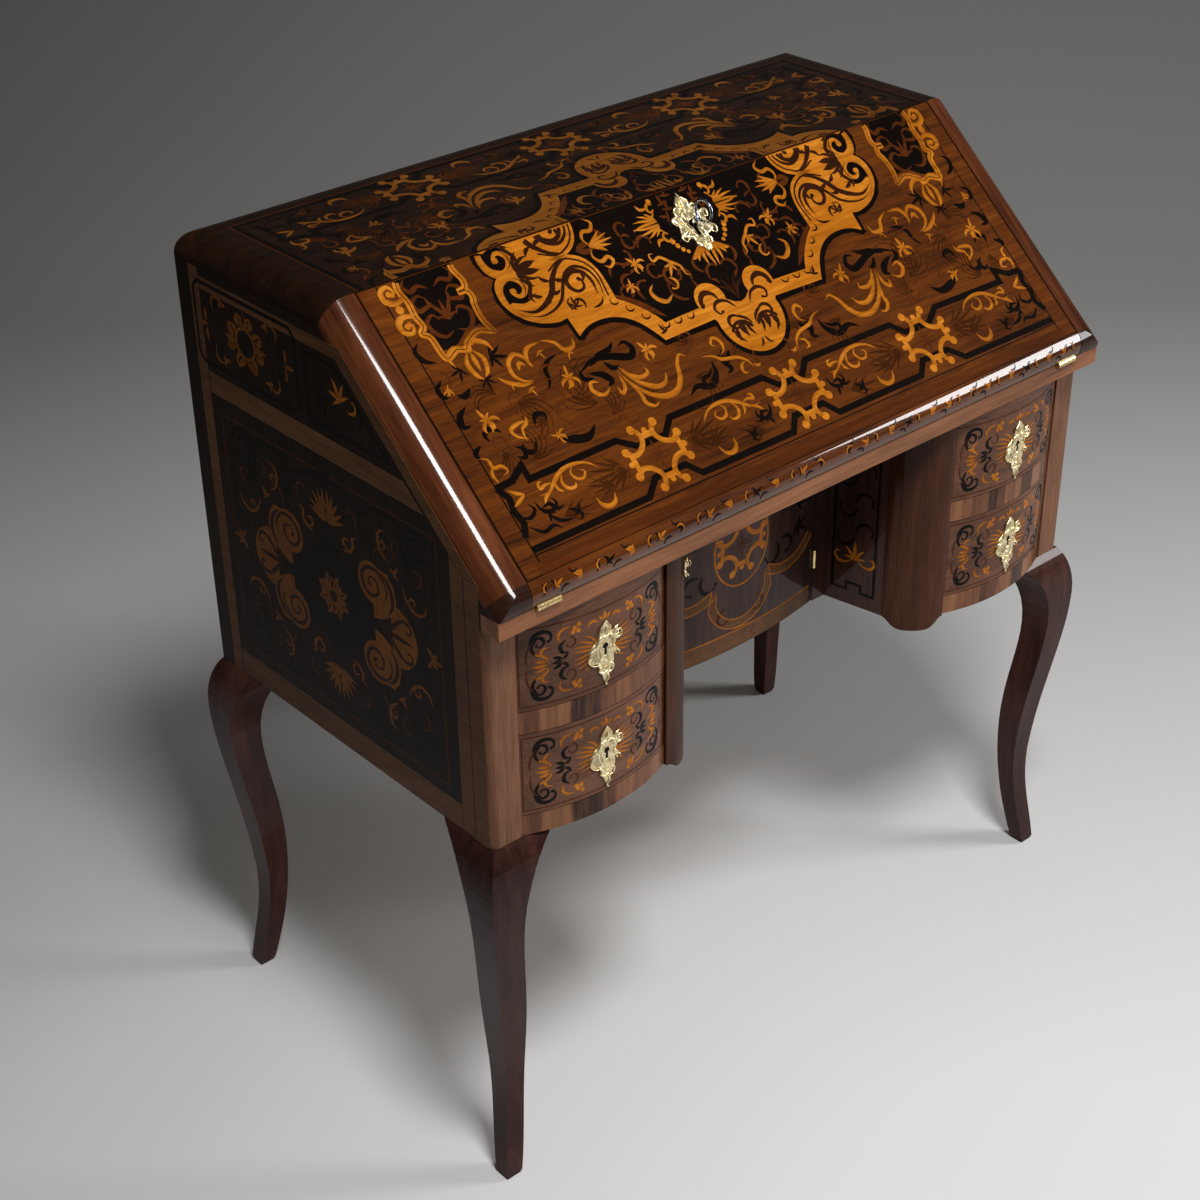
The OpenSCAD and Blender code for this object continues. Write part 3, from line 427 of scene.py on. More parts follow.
def spline(points, count):
    """Cubic through every point, each span leaning along its neighbours."""
    p = np.asarray(points, float)
    q = np.vstack([2 * p[0] - p[1], p, 2 * p[-1] - p[-2]])
    t = np.linspace(0, len(p) - 1, count)
    i = np.minimum(t.astype(int), len(p) - 2)
    f = (t - i)[:, None]
    a, b, c, d = q[i], q[i + 1], q[i + 2], q[i + 3]
    return 0.5 * (2 * b + (c - a) * f + (2 * a - 5 * b + 4 * c - d) * f ** 2
                  + (3 * b - a - 3 * c + d) * f ** 3)


def curl_line(x, y, heading, length, turn, hurry, count):
    """A walk of the given length whose heading turns by turn * t ** hurry degrees."""
    t = np.linspace(0, 1, count)
    angle = np.radians(heading + turn * t ** hurry)
    step = np.stack([np.cos(angle), np.sin(angle)], 1) * length / (count - 1)
    return np.vstack([[x, y], [x, y] + np.cumsum((step[1:] + step[:-1]) / 2, 0)])


def widths(kind, count, w):
    """The width at each station, from the profile of that kind."""
    spots, shares = np.array(PROFILES[kind]).T
    return w * np.interp(np.linspace(0, 1, count), spots, shares)


def arc(x, y, r, start, end, count=16):
    """Points of a circular arc between two angles in degrees."""
    a = np.radians(np.linspace(start, end, count))
    return np.stack([x + r * np.cos(a), y + r * np.sin(a)], 1)


def ray(degrees, reach):
    """The point at a reach from the origin; two reaches give a point of an ellipse."""
    a = math.radians(degrees)
    return reach * np.array([math.cos(a), math.sin(a)])


# %% [markdown]
# ## Drawing boards and veneers
# A drawing board collects the pieces of one panel. It knows how a point of the drawing
# lands on the real surface, flat or bowed, and where the veneer has to stop. Each role
# has its layer: the faint leaves and pale strips lie lowest, then ebony, brown and the
# light wood, with the burnt lines on top. Every piece is closed, with a top, edges and a
# hidden underside. A board with two sides draws all pieces twice, left and right. Its
# pen can be mirrored too, for figures that repeat within the drawing.

# %% The drawing board
LAYERS = {"brass": 0.0, "pale": 0.07, "ebony": 0.08, "brown": 0.12, "light": 0.16,
          "line": 0.21}
VENEERS = {"ebony": "ebony_veneer", "brown": "brown_veneer", "light": "light_veneer",
           "line": "burnt_line", "pale": "pale_veneer", "brass": "cast_brass"}
HOT_SAND = {"light": 0.5}
UNDER = -0.45
NO_LIMIT = 1e6
TRACE_STEP, CURL_STEP, BAND_STEP = 1.8, 1.6, 6.0
TINY = 1e-9
HAIR, GOLDEN = 0.025, 0.618
CAP = np.array([[5, 4, 3, 0], [3, 2, 1, 0]])


def unit(steps):
    """Steps brought to length 1."""
    return steps / np.maximum(np.linalg.norm(steps, axis=1, keepdims=True), TINY)


def beside(centre):
    """Steps of length 1 to the left of a line, at each of its points."""
    along = np.gradient(centre, axis=0)
    return unit(np.stack([-along[:, 1], along[:, 0]], 1))


class Board:
    """Pieces of one panel, kept per wood as rows of (u, v, height, shade) with faces."""

    def __init__(self, name, body, place, sides=(1, -1), limit=NO_LIMIT, woods=None):
        self.name, self.body, self.place = name, body, place
        self.sides, self.limit = sides, limit
        self.woods = {**VENEERS, **(woods or {})}
        self.made, self.pieces = {}, 0
        self.pen()

    def pen(self, way=(1, 1), move=(0, 0)):
        """Mirrors what is drawn from here on by two signs, and then moves it."""
        self.way, self.move = np.array(way), np.array(move)

    def put(self, points):
        """Where the pen sets the points down."""
        return np.asarray(points, float) * self.way + self.move

    def above_below(self, level=0):
        """A loop that draws its figures as they are, then mirrored in a level line."""
        for s in (1, -1):
            self.pen((1, s), (0, level * (1 - s)))
            yield s
        self.pen()

    def left_right(self, middle):
        """A loop that draws its figures to both sides of a middle, x counted from it."""
        for s in (1, -1):
            self.pen((s, 1), (middle, 0))
            yield s
        self.pen()

    def add(self, wood_name, points, faces):
        """Keeps a piece and, for a mirrored side, its mirror image."""
        for side in self.sides:
            self.made.setdefault(wood_name, []).append(
                (points * [side, 1, 1, 1], faces if side > 0 else faces[:, ::-1]))

    def level(self, wood_name):
        """The layer's height with a hair's difference from piece to piece."""
        self.pieces += 1
        return LAYERS[wood_name] + HAIR * ((self.pieces * GOLDEN) % 1)

    def line(self, wood_name, centre, width, burn=0.0):
        """A closed strip along a line: four points over its width, two below."""
        out = beside(centre)
        inside = centre[:, 1] + width / 2 * abs(out[:, 1]) < self.limit
        runs = np.split(np.arange(len(centre)), np.flatnonzero(np.diff(inside)) + 1)
        top = self.level(wood_name)
        across = np.array([0.5, 0.2, -0.2, -0.5, -0.5, 0.5])
        height = np.array([top - 0.02, top, top, top - 0.02, UNDER, UNDER])
        edge = np.array([1.0, 0.3, 0, 0.15, 0, 0]) * burn
        for run in runs:
            n = len(run)
            if n < 3 or not inside[run[0]]:
                continue
            flat = centre[run, None] + out[run, None] * (across * width[run, None])[..., None]
            root = burn * 0.9 * np.exp(-np.linspace(0, 6, n))[:, None]
            rows = np.concatenate([flat, np.tile(height, (n, 1))[..., None],
                                   np.minimum(edge + root, 1)[..., None]], 2)
            faces = np.vstack([grid_faces(n, 6, wrap=True), CAP, CAP[:, ::-1] + 6 * (n - 1)])
            self.add(wood_name, rows.reshape(-1, 4), faces)

    def even(self, wood_name, points, w):
        """A line of one width through all its points."""
        self.line(wood_name, self.put(points), np.full(len(points), float(w)))

    def trace(self, wood_name, points, w, kind="leaf", burn=None):
        """A smooth line through points, with a width profile."""
        length = np.linalg.norm(np.diff(points, axis=0), axis=1).sum()
        n = int(np.clip(length / TRACE_STEP, 8, 90))
        if burn is None:
            burn = HOT_SAND.get(wood_name, 0.0)
        self.line(wood_name, spline(self.put(points), n), widths(kind, n, w), burn)

    def traces(self, wood_name, *rows):
        """Smooth lines from rows of (points, width) or (points, width, profile)."""
        for row in rows:
            self.trace(wood_name, *row)

    def curl(self, wood_name, x, y, heading, length, turn, w, kind="horn", hurry=1.4):
        """A scroll from its root point; a mirrored pen mirrors heading and turn too."""
        way_x, way_y = self.way
        if way_x < 0:
            heading = 180 - heading
        n = int(np.clip(length / CURL_STEP, 9, 70))
        run = curl_line(*self.put((x, y)), way_y * heading, length, way_x * way_y * turn,
                        hurry, n)
        self.line(wood_name, run, widths(kind, n, w), HOT_SAND.get(wood_name, 0.0))

    def bead(self, wood_name, x, y, r):
        """A round dot."""
        x, y = self.put((x, y))
        turn = np.linspace(0.12, np.pi - 0.12, 10)
        self.line(wood_name, np.stack([x - r * np.cos(turn), np.full(10, y)], 1),
                  2 * r * np.sin(turn))

    def spray(self, wood_name, x, y, heading, size, leaves=5, fan=120, w=None, bend=50):
        """Acanthus leaves from one root, the longest in the middle, bent outwards."""
        for f in np.linspace(-1, 1, leaves) * self.way.prod():
            self.curl(wood_name, x, y, heading + f * fan / 2, size * (1 - 0.4 * abs(f) ** 1.3),
                      f * bend, (w or size * 0.2) * (1 - 0.25 * abs(f)), "leaf")

    def band(self, wood_name, points, w, closed=False):
        """A strap of even width with mitred corners."""
        p = self.put(points)
        if closed:
            p = np.vstack([p, p[:1]])
        p[:, 1] = np.minimum(p[:, 1], self.limit)
        reach = np.concatenate([[0], np.cumsum(np.linalg.norm(np.diff(p, axis=0), axis=1))])
        more = np.arange(0, reach[-1], BAND_STEP)
        more = more[abs(more[:, None] - reach).min(1) > w]
        spots = np.sort(np.concatenate([reach, more]))
        q = np.column_stack([np.interp(spots, reach, p[:, k]) for k in (0, 1)])
        d = unit(np.diff(q, axis=0))
        before = np.vstack([d[-1:] if closed else d[:1], d])
        after = np.vstack([d, d[:1] if closed else d[-1:]])
        middle = unit(before + after)
        stretch = 1 / np.maximum((middle * before).sum(1), 0.5)
        out = np.stack([-middle[:, 1], middle[:, 0]], 1) * stretch[:, None]
        top = self.level(wood_name) - 0.01
        rows = [np.column_stack([q + out * (a * w), np.full(len(q), h), np.zeros(len(q))])
                for a, h in ((0.5, top), (-0.5, top), (-0.5, UNDER), (0.5, UNDER))]
        faces = grid_faces(len(q), 4, wrap=True)
        ends = np.array([[3, 2, 1, 0], [0, 1, 2, 3]]) + [[0], [4 * (len(q) - 1)]]
        self.add(wood_name, np.stack(rows, 1).reshape(-1, 4), np.vstack([faces, ends]))

    def field(self, wood_name, outline, drop=0.0):
        """A sheet of veneer inside an outline, cut at the board's limit."""
        p = self.put(outline)
        q = np.roll(p, -1, axis=0)
        cross = (p[:, 1] < self.limit) != (q[:, 1] < self.limit)
        share = (self.limit - p[:, 1]) / np.where(cross, q[:, 1] - p[:, 1], 1)
        meet = p + (q - p) * np.where(cross, share, 0)[:, None]
        kept = np.stack([p[:, 1] < self.limit, cross], 1).ravel()
        p = np.stack([p, meet], 1).reshape(-1, 2)[kept]
        if len(p) < 3:
            return
        q = np.roll(p, -1, axis=0)
        if (p[:, 0] * q[:, 1] - q[:, 0] * p[:, 1]).sum() < 0:
            p = p[::-1]
        cut = delaunay_2d_cdt([Vector(c) for c in p], [], [list(range(len(p)))], 1, 1e-4)
        flat = np.array([tuple(c) for c in cut[0]])
        tris = np.array([f for f in cut[2] if len(f) == 3]).reshape(-1, 3)
        if len(tris) == 0:
            return
        m = len(flat)
        rows = np.vstack([np.column_stack([flat, np.full(m, h), np.zeros(m)])
                          for h in (LAYERS[wood_name] - drop, UNDER)])
        edges = np.vstack([tris[:, [0, 1]], tris[:, [1, 2]], tris[:, [2, 0]]])
        code = edges[:, 0] * m + edges[:, 1]
        rim = edges[~np.isin(code, edges[:, 1] * m + edges[:, 0])]
        walls = np.stack([rim[:, 0], rim[:, 0] + m, rim[:, 1] + m, rim[:, 1]], 1)
        lid = np.column_stack([tris, tris[:, 2]])
        under = np.column_stack([tris[:, ::-1], tris[:, 0]]) + m
        self.add(wood_name, rows, np.vstack([lid, under, walls]))

    def lay(self):
        """Makes one piece per wood, placed on the real surface, normals outwards."""
        corner = self.place(*np.array([[0, 1, 0, 0], [0, 0, 1, 0], [0, 0, 0, 1.0]]))
        order = -1 if np.linalg.det(corner[1:] - corner[0]) < 0 else 1
        for wood_name, pieces in self.made.items():
            rows = np.vstack([points for points, _ in pieces])
            starts = np.cumsum([0] + [len(points) for points, _ in pieces])
            faces = np.vstack([block + start for (_, block), start in zip(pieces, starts)])
            end_twice = faces[:, 2] == faces[:, 3]
            thin = end_twice | (faces[:, 0] == faces[:, 1])
            tris = np.where(end_twice[:, None], faces[:, :3], faces[:, 1:])
            points = self.place(rows[:, 0], rows[:, 1], rows[:, 2]) * MM
            make_piece(f"{self.name}_{wood_name}", points,
                       [faces[~thin][:, ::order], tris[thin][:, ::order]],
                       self.woods[wood_name], self.body, rows[:, 3], smooth=False)
            print(self.name, wood_name, len(points), "points")


# %% [markdown]
# ## Veneer woods
# Boxwood and satinwood make the light pieces: warm yellow, with one edge darkened in
# hot sand. On the top and the sides they take a darker copy of the same wood, which is
# painted shade for the weaker light on those faces. Ebony or stained pear makes the
# black ones. The faint leaves are a brown close to the ground, and the burnt lines are
# what a graver cuts and fills with dark wax.

# %% Veneers
WAXED = {"coat": 0.16, "coat_rough": 0.06}
wood("light_veneer", [(0.19, 0.052, 0.002), (0.36, 0.112, 0.006), (0.62, 0.235, 0.026)],
     "x", 60, 0.5, 0.3, shaded=(0.05, 0.010, 0.001), **WAXED)
# Painted shade: a darker copy of the light veneer, for the top and the sides.
wood("painted_shade_veneer", [(0.09, 0.026, 0.002), (0.16, 0.052, 0.005), (0.25, 0.094, 0.013)],
     "x", 60, 0.5, 0.3, shaded=(0.03, 0.007, 0.001), **WAXED)
wood("shadow_veneer", [(0.018, 0.0045, 0.0005), (0.034, 0.0085, 0.0008),
                       (0.055, 0.014, 0.001)], "x", 60, **WAXED)
wood("brown_veneer", [(0.03, 0.008, 0.002), (0.06, 0.014, 0.002), (0.11, 0.026, 0.004)],
     "x", 60, **WAXED)
wood("ebony_veneer", [(0.0012, 0.0007, 0.0005), (0.003, 0.0015, 0.001),
                      (0.007, 0.003, 0.0018)], "x", 40, 0.4, 0.3, **WAXED)
wood("burnt_line", [(0.008, 0.003, 0.001), (0.022, 0.006, 0.002), (0.045, 0.012, 0.003)],
     "x", 60, **WAXED)
wood("pale_veneer", [(0.04, 0.017, 0.007), (0.10, 0.044, 0.018), (0.17, 0.08, 0.036)],
     "y", 60, 0.5, 0.3, coat=0.14, coat_rough=0.08)
print("veneers", sorted(n for n in finishes if "veneer" in n))

# %% [markdown]
# ## The drawing of the fall and the top
# The fall and the top carry one drawing, twice: the top shows the part that lies below
# the middle of the cartouche, turned round. It has a black ground cut like a cloud, a
# light strap that follows its edge, an arch that ends in a scroll, a wreath, a corner
# piece, a field of loose acanthus and a strapwork frieze along the bottom. S is the way
# up the slope from the hinge. The left half is the right half mirrored.

# %% Straps and grounds
MIDDLE_S = 320
CLOUD = [(0, 137), *arc(0, 186, 49, -88, 4, 14), (80, 190), (121, 189), (129, 202), (139, 217),
         (152, 228), (168, 234), (185, 235), (198, 233), (210, 226), (216, 228), (218, 249),
         (232, 249), (248, 254), (266, 265), (277, 280), (281, 298), (277, 312), (269, 320),
         (277, 328), (281, 342), (279, 360), (0, 360)]
STRAP = [(40, 197), (80, 196), (118, 195), *spline([(118, 195), (124, 206), (135, 222),
         (150, 234), (167, 240), (185, 241), (200, 238), (212, 232)], 22), (214, 262),
         *spline([(190, 264), (158, 262), (140, 252), (124, 238), (112, 224), (106, 213)], 16),
         (80, 214), (40, 215)]
LOBE = [(0, 205), (8, 207), (20, 216), (44, 214), (46, 197), *arc(0, 187, 44, 8, -90, 26)]
ARCH = [*spline([(146, 250), (145, 275), (146, 292), (152, 307), (164, 317), (182, 322),
                 (199, 319), (212, 310), (224, 298), (236, 289), (250, 285), (264, 290)], 40),
        *spline([(272, 286), (262, 270), (245, 259), (225, 254), (212, 255), (180, 252)], 20)]
SCROLL = [(250, 264), (264, 276), (271, 290), (271, 304), (265, 314), (253, 318), (243, 312),
          (240, 303), (244, 296), (251, 294), (256, 299), (253, 304)]
BRIDGE = [(176, 320), (200, 316), (216, 303), (232, 292), (243, 288), (237, 300), (238, 312),
          (247, 320), (238, 328), (237, 340), (243, 352), (232, 348), (216, 337), (200, 324)]


def cartouche_ground(b):
    """The black cloud with its light strap, the lobe, the arch and its scroll."""
    b.field("ebony", CLOUD)
    b.field("light", STRAP)
    b.field("light", LOBE, 0.005)
    b.field("light", arc(36, 219, 20, 0, 345, 26), 0.008)
    b.field("light", BRIDGE, 0.014)
    for _ in b.above_below(MIDDLE_S):
        b.field("light", ARCH, 0.01)
        b.trace("light", SCROLL, 10, "horn", 0.3)


# %% [markdown]
# ## Leaves of the cartouche
# Burnt acanthus fills the arches and the shell in the middle lobe. Light sprigs, brown
# curls and the wreath stand on the black ground. What stands above the middle of the
# cartouche is the same as below it, mirrored, so one loop draws both.

# %% Leaves of the cartouche
def arch_leaf(b):
    """The burnt acanthus inside the arch and the inner spiral, in both arches."""
    for _ in b.above_below(MIDDLE_S):
        b.traces("line",
                 ([(172, 318), (190, 312), (204, 300), (214, 286), (230, 276), (246, 273),
                   (263, 281)], 7),
                 ([(158, 262), (154, 280), (158, 296), (171, 305), (186, 301), (197, 289),
                   (207, 276), (222, 268), (240, 266), (258, 272)], 4.6),
                 ([(163, 268), (161, 284), (166, 296), (178, 301), (189, 295), (190, 285),
                   (183, 278), (174, 280), (172, 288), (177, 292)], 6.5, "horn"),
                 ([(152, 262), (150, 290), (160, 308), (182, 317), (204, 309)], 2.2, "strap"),
                 ([(246, 292), (240, 300), (241, 310), (249, 316)], 1.6))
        for x, y, heading, turn in ((203, 300, 225, -70), (216, 287, 215, -80),
                                    (231, 279, 205, -90), (208, 299, 10, 80),
                                    (226, 286, 0, 80), (168, 300, 250, 90)):
            b.curl("line", x, y, heading, 15, turn, 5, "leaf")
    b.spray("line", 196, 262, 90, 15, 5, 150)
    b.curl("line", 186, 258, 120, 26, -230, 3.6)
    b.curl("line", 196, 260, 20, 20, 150, 3)
    b.curl("line", 178, 256, 190, 22, -80, 3.4, "leaf")
    for x, y, heading in ((66, 213, 280), (84, 213, 280), (101, 212, 290), (118, 226, 320),
                          (131, 240, 320), (145, 252, 330)):
        b.curl("line", x, y, heading, 17, 190, 2.6)
    b.spray("line", 112, 203, 70, 12, 3, 100, 4)
    b.trace("brown", [(100, 219), (114, 233), (132, 250), (152, 264)], 8)


def lobe_leaves(b):
    """The shell in the middle lobe: ears, fan, spirals and two leaf clusters."""
    b.traces("line",
             ([(26, 214), (30, 224), (40, 228), (48, 223), (51, 213), (46, 217)], 7),
             ([(10, 200), (18, 211), (30, 214), (38, 208), (35, 200), (28, 202)], 4.6, "horn"))
    b.curl("line", 14, 188, 60, 46, -330, 4.6, "horn", 1.2)
    for tip in ((0, 240), (10, 238), (19, 231)):
        b.trace("line", [(0, 208), (tip[0] * 0.3, 222), tip], 4)
    b.curl("line", 2, 178, 20, 26, -60, 4, "leaf")
    b.curl("line", 2, 178, 60, 26, -60, 4, "leaf")
    b.trace("line", [(4, 174), (12, 183), (24, 184), (34, 176)], 4, "strap")
    for x, y, lean in ((11, 183, -5), (21, 184, -7), (31, 179, -8), (16, 184, 1), (27, 182, 3)):
        b.trace("line", [(x, y), (x + lean * 0.2, y - 10), (x + lean, y - 19)], 4.6)
    b.curl("line", 2, 160, 280, 14, 60, 3, "leaf")


def sprig(b, x, y, heading, size):
    """A small light sprig: three leaves, four curled side leaves and a stalk."""
    b.spray("light", x, y, heading, size, 3, 64, size * 0.26)
    for way in (1, -1):
        b.curl("light", x, y, heading + way * 80, size, way * 120, size * 0.26, "leaf")
        b.curl("light", x, y, heading + way * 150, size * 0.7, way * 90, size * 0.22, "leaf")
    b.curl("light", x, y, heading + 180, size * 0.8, 70, size * 0.22, "leaf")


def cartouche_sprigs(b):
    """Light sprigs and brown curls on the black ground, and the wreath."""
    b.traces("light",
             ([(130, 352), (122, 345), (128, 337), (138, 338), (143, 330), (139, 321)], 5),
             ([(139, 319), (143, 308), (136, 300), (126, 303), (122, 297), (129, 291),
               (136, 295)], 5))
    for tip in ((107, 322), (111, 329), (119, 334), (112, 315), (121, 309)):
        b.trace("light", [(141, 320), (128, (tip[1] + 320) / 2), tip], 4.4)
    b.trace("light", [(40, 252), (46, 256), (47, 266), (56, 274), (66, 283), (76, 281), (77, 289),
                      (71, 289)], 4)
    b.spray("light", 57, 273, 300, 18, 3, 60, 4)
    sprig(b, 98, 284, 50, 14)
    sprig(b, 120, 262, 100, 11)
    b.trace("light", [(76, 240), (88, 234), (98, 240), (101, 250), (94, 257)], 6)
    b.curl("light", 70, 258, 200, 26, 220, 4)
    for x, y, heading, turn in ((112, 244, 60, 160), (118, 292, 220, -200), (84, 300, 100, 200),
                                (66, 246, 40, 150), (136, 280, 100, 170), (60, 228, 10, 120),
                                (22, 250, 30, 190), (128, 338, 200, 180)):
        b.curl("brown", x, y, heading, 34, turn, 4.5)
    for _ in b.above_below(MIDDLE_S):
        b.traces("light",
                 ([(36, 299), (42, 296), (46, 302), (42, 307), (38, 304)], 4, "horn"),
                 ([(40, 308), (50, 314), (62, 313)], 4.4),
                 ([(44, 300), (54, 300), (58, 293)], 4.2))
        for heading, length in ((-8, 36), (-24, 32), (-42, 26), (-62, 18)):
            b.curl("light", 42, 319, heading, length, 28, 3.4, "leaf")
        for x, y, r in ((38, 294, 3.2), (35, 288, 3), (31, 282, 2.7), (26, 278, 2.4)):
            b.bead("light", x, y, r)
    for tip in ((2, 252), (11, 256), (20, 263), (27, 268)):
        b.trace("light", [(5, 284), (tip[0] * 0.7 + 3, 270), tip], 5)
    for x, y, heading in ((14, 346, 100), (22, 338, 80), (20, 330, 100), (24, 322, 20)):
        b.spray("brown", x, y, heading, 13, 3, 120, 4)
    for x, y, heading, turn in ((96, 320, 60, 220), (96, 318, -60, -220), (62, 270, 200, 180),
                                (44, 246, 120, -200), (84, 262, 40, 200), (112, 276, 20, -180),
                                (20, 240, 80, 160), (136, 262, 140, 220)):
        b.curl("brown", x, y, heading, 30, turn, 4)
        b.curl("brown", x, y, heading + 120, 12, 60, 3.4, "leaf")


def scroll_figure(b):
    """The burnt acanthus on the light bridge between the two scrolls."""
    for _ in b.above_below(MIDDLE_S):
        for heading, length, turn in ((176, 30, -20), (150, 30, 50), (122, 28, 70), (96, 26, 60)):
            b.curl("line", 240, 320, heading, length, turn, 4.8, "leaf")
        b.trace("line", [(236, 323), (232, 336), (240, 350), (238, 358)], 5)
    b.curl("brown", 158, 320, 150, 24, 60, 7, "leaf")
    b.curl("brown", 158, 320, 210, 24, -60, 7, "leaf")


# %% [markdown]
# ## Acanthus round the cartouche
# A small cartouche closes each outer corner. Between it and the middle grow one big
# light acanthus with a black companion, then loose sprigs, and faint brown leaves that
# are hardly darker than the ground. Each figure is a table of lines with their widths.

# %% Corner pieces and acanthus
def corner_piece(b):
    """The small cartouche at the outer end, on its own black ground."""
    b.field("ebony", [(303, 275), (312, 281), (330, 280), (345, 270), (356, 266), (366, 268),
                      (372, 282), (376, 300), (374, 360), (306, 360), (301, 322), (305, 300)])
    for run in ([(300, 266), (306, 285), (305, 302), (302, 311), (305, 319), (314, 320),
                 (305, 322), (302, 331), (306, 345), (304, 358)],
                [(300, 268), (318, 275), (335, 268), (342, 261), (352, 264), (368, 259),
                 (371, 284), (378, 291), (372, 298), (374, 310), (373, 326), (376, 342),
                 (372, 356)]):
        b.trace("light", run, 7.5, "strap", 0.5)
        b.even("line", spline(run, 60), 1)
    for _ in b.above_below(322):
        b.trace("light", [(372, 340), (378, 332), (388, 330), (396, 336), (395, 346), (386, 349),
                          (382, 342), (387, 338)], 7.5, "horn")
        b.bead("light", 388, 341, 3.4)
    b.bead("light", 386, 322, 4.5)
    b.bead("light", 340, 261, 4.5)
    b.traces("light",
             ([(336, 262), (328, 266), (318, 260), (314, 250)], 6),
             ([(344, 262), (354, 266), (366, 259), (364, 247)], 6),
             ([(338, 260), (330, 246), (333, 233), (339, 227)], 6),
             ([(342, 260), (350, 246), (347, 231), (341, 225)], 6),
             ([(340, 258), (340, 245), (340, 234)], 6))
    b.spray("ebony", 322, 246, 200, 22, 5, 140)
    b.spray("ebony", 340, 226, 270, 16, 5, 150)
    b.spray("ebony", 360, 244, 320, 18, 4, 120)
    for _ in b.left_right(340):
        b.traces("brown",
                 ([(2, 284), (14, 280), (24, 288), (26, 300), (16, 306), (10, 298)], 5.5),
                 ([(2, 306), (12, 316), (26, 314), (30, 324), (20, 330), (12, 324)], 5.5),
                 ([(3, 334), (14, 340), (24, 336), (30, 344), (24, 352)], 5.5))
        b.curl("brown", 8, 312, 50, 16, 50, 4, "leaf")
    b.spray("brown", 340, 296, 90, 24, 5, 90, 4.4)


def faint_leaf(b, x, y, heading, length, way):
    """A faint leaf behind the others: five brown strokes that fan out and curl one way."""
    for k in range(5):
        b.curl("pale", x, y, heading + way * (16 * k - 32), length * (0.5 + 0.12 * k),
               way * (60 + 30 * k), 2.4)


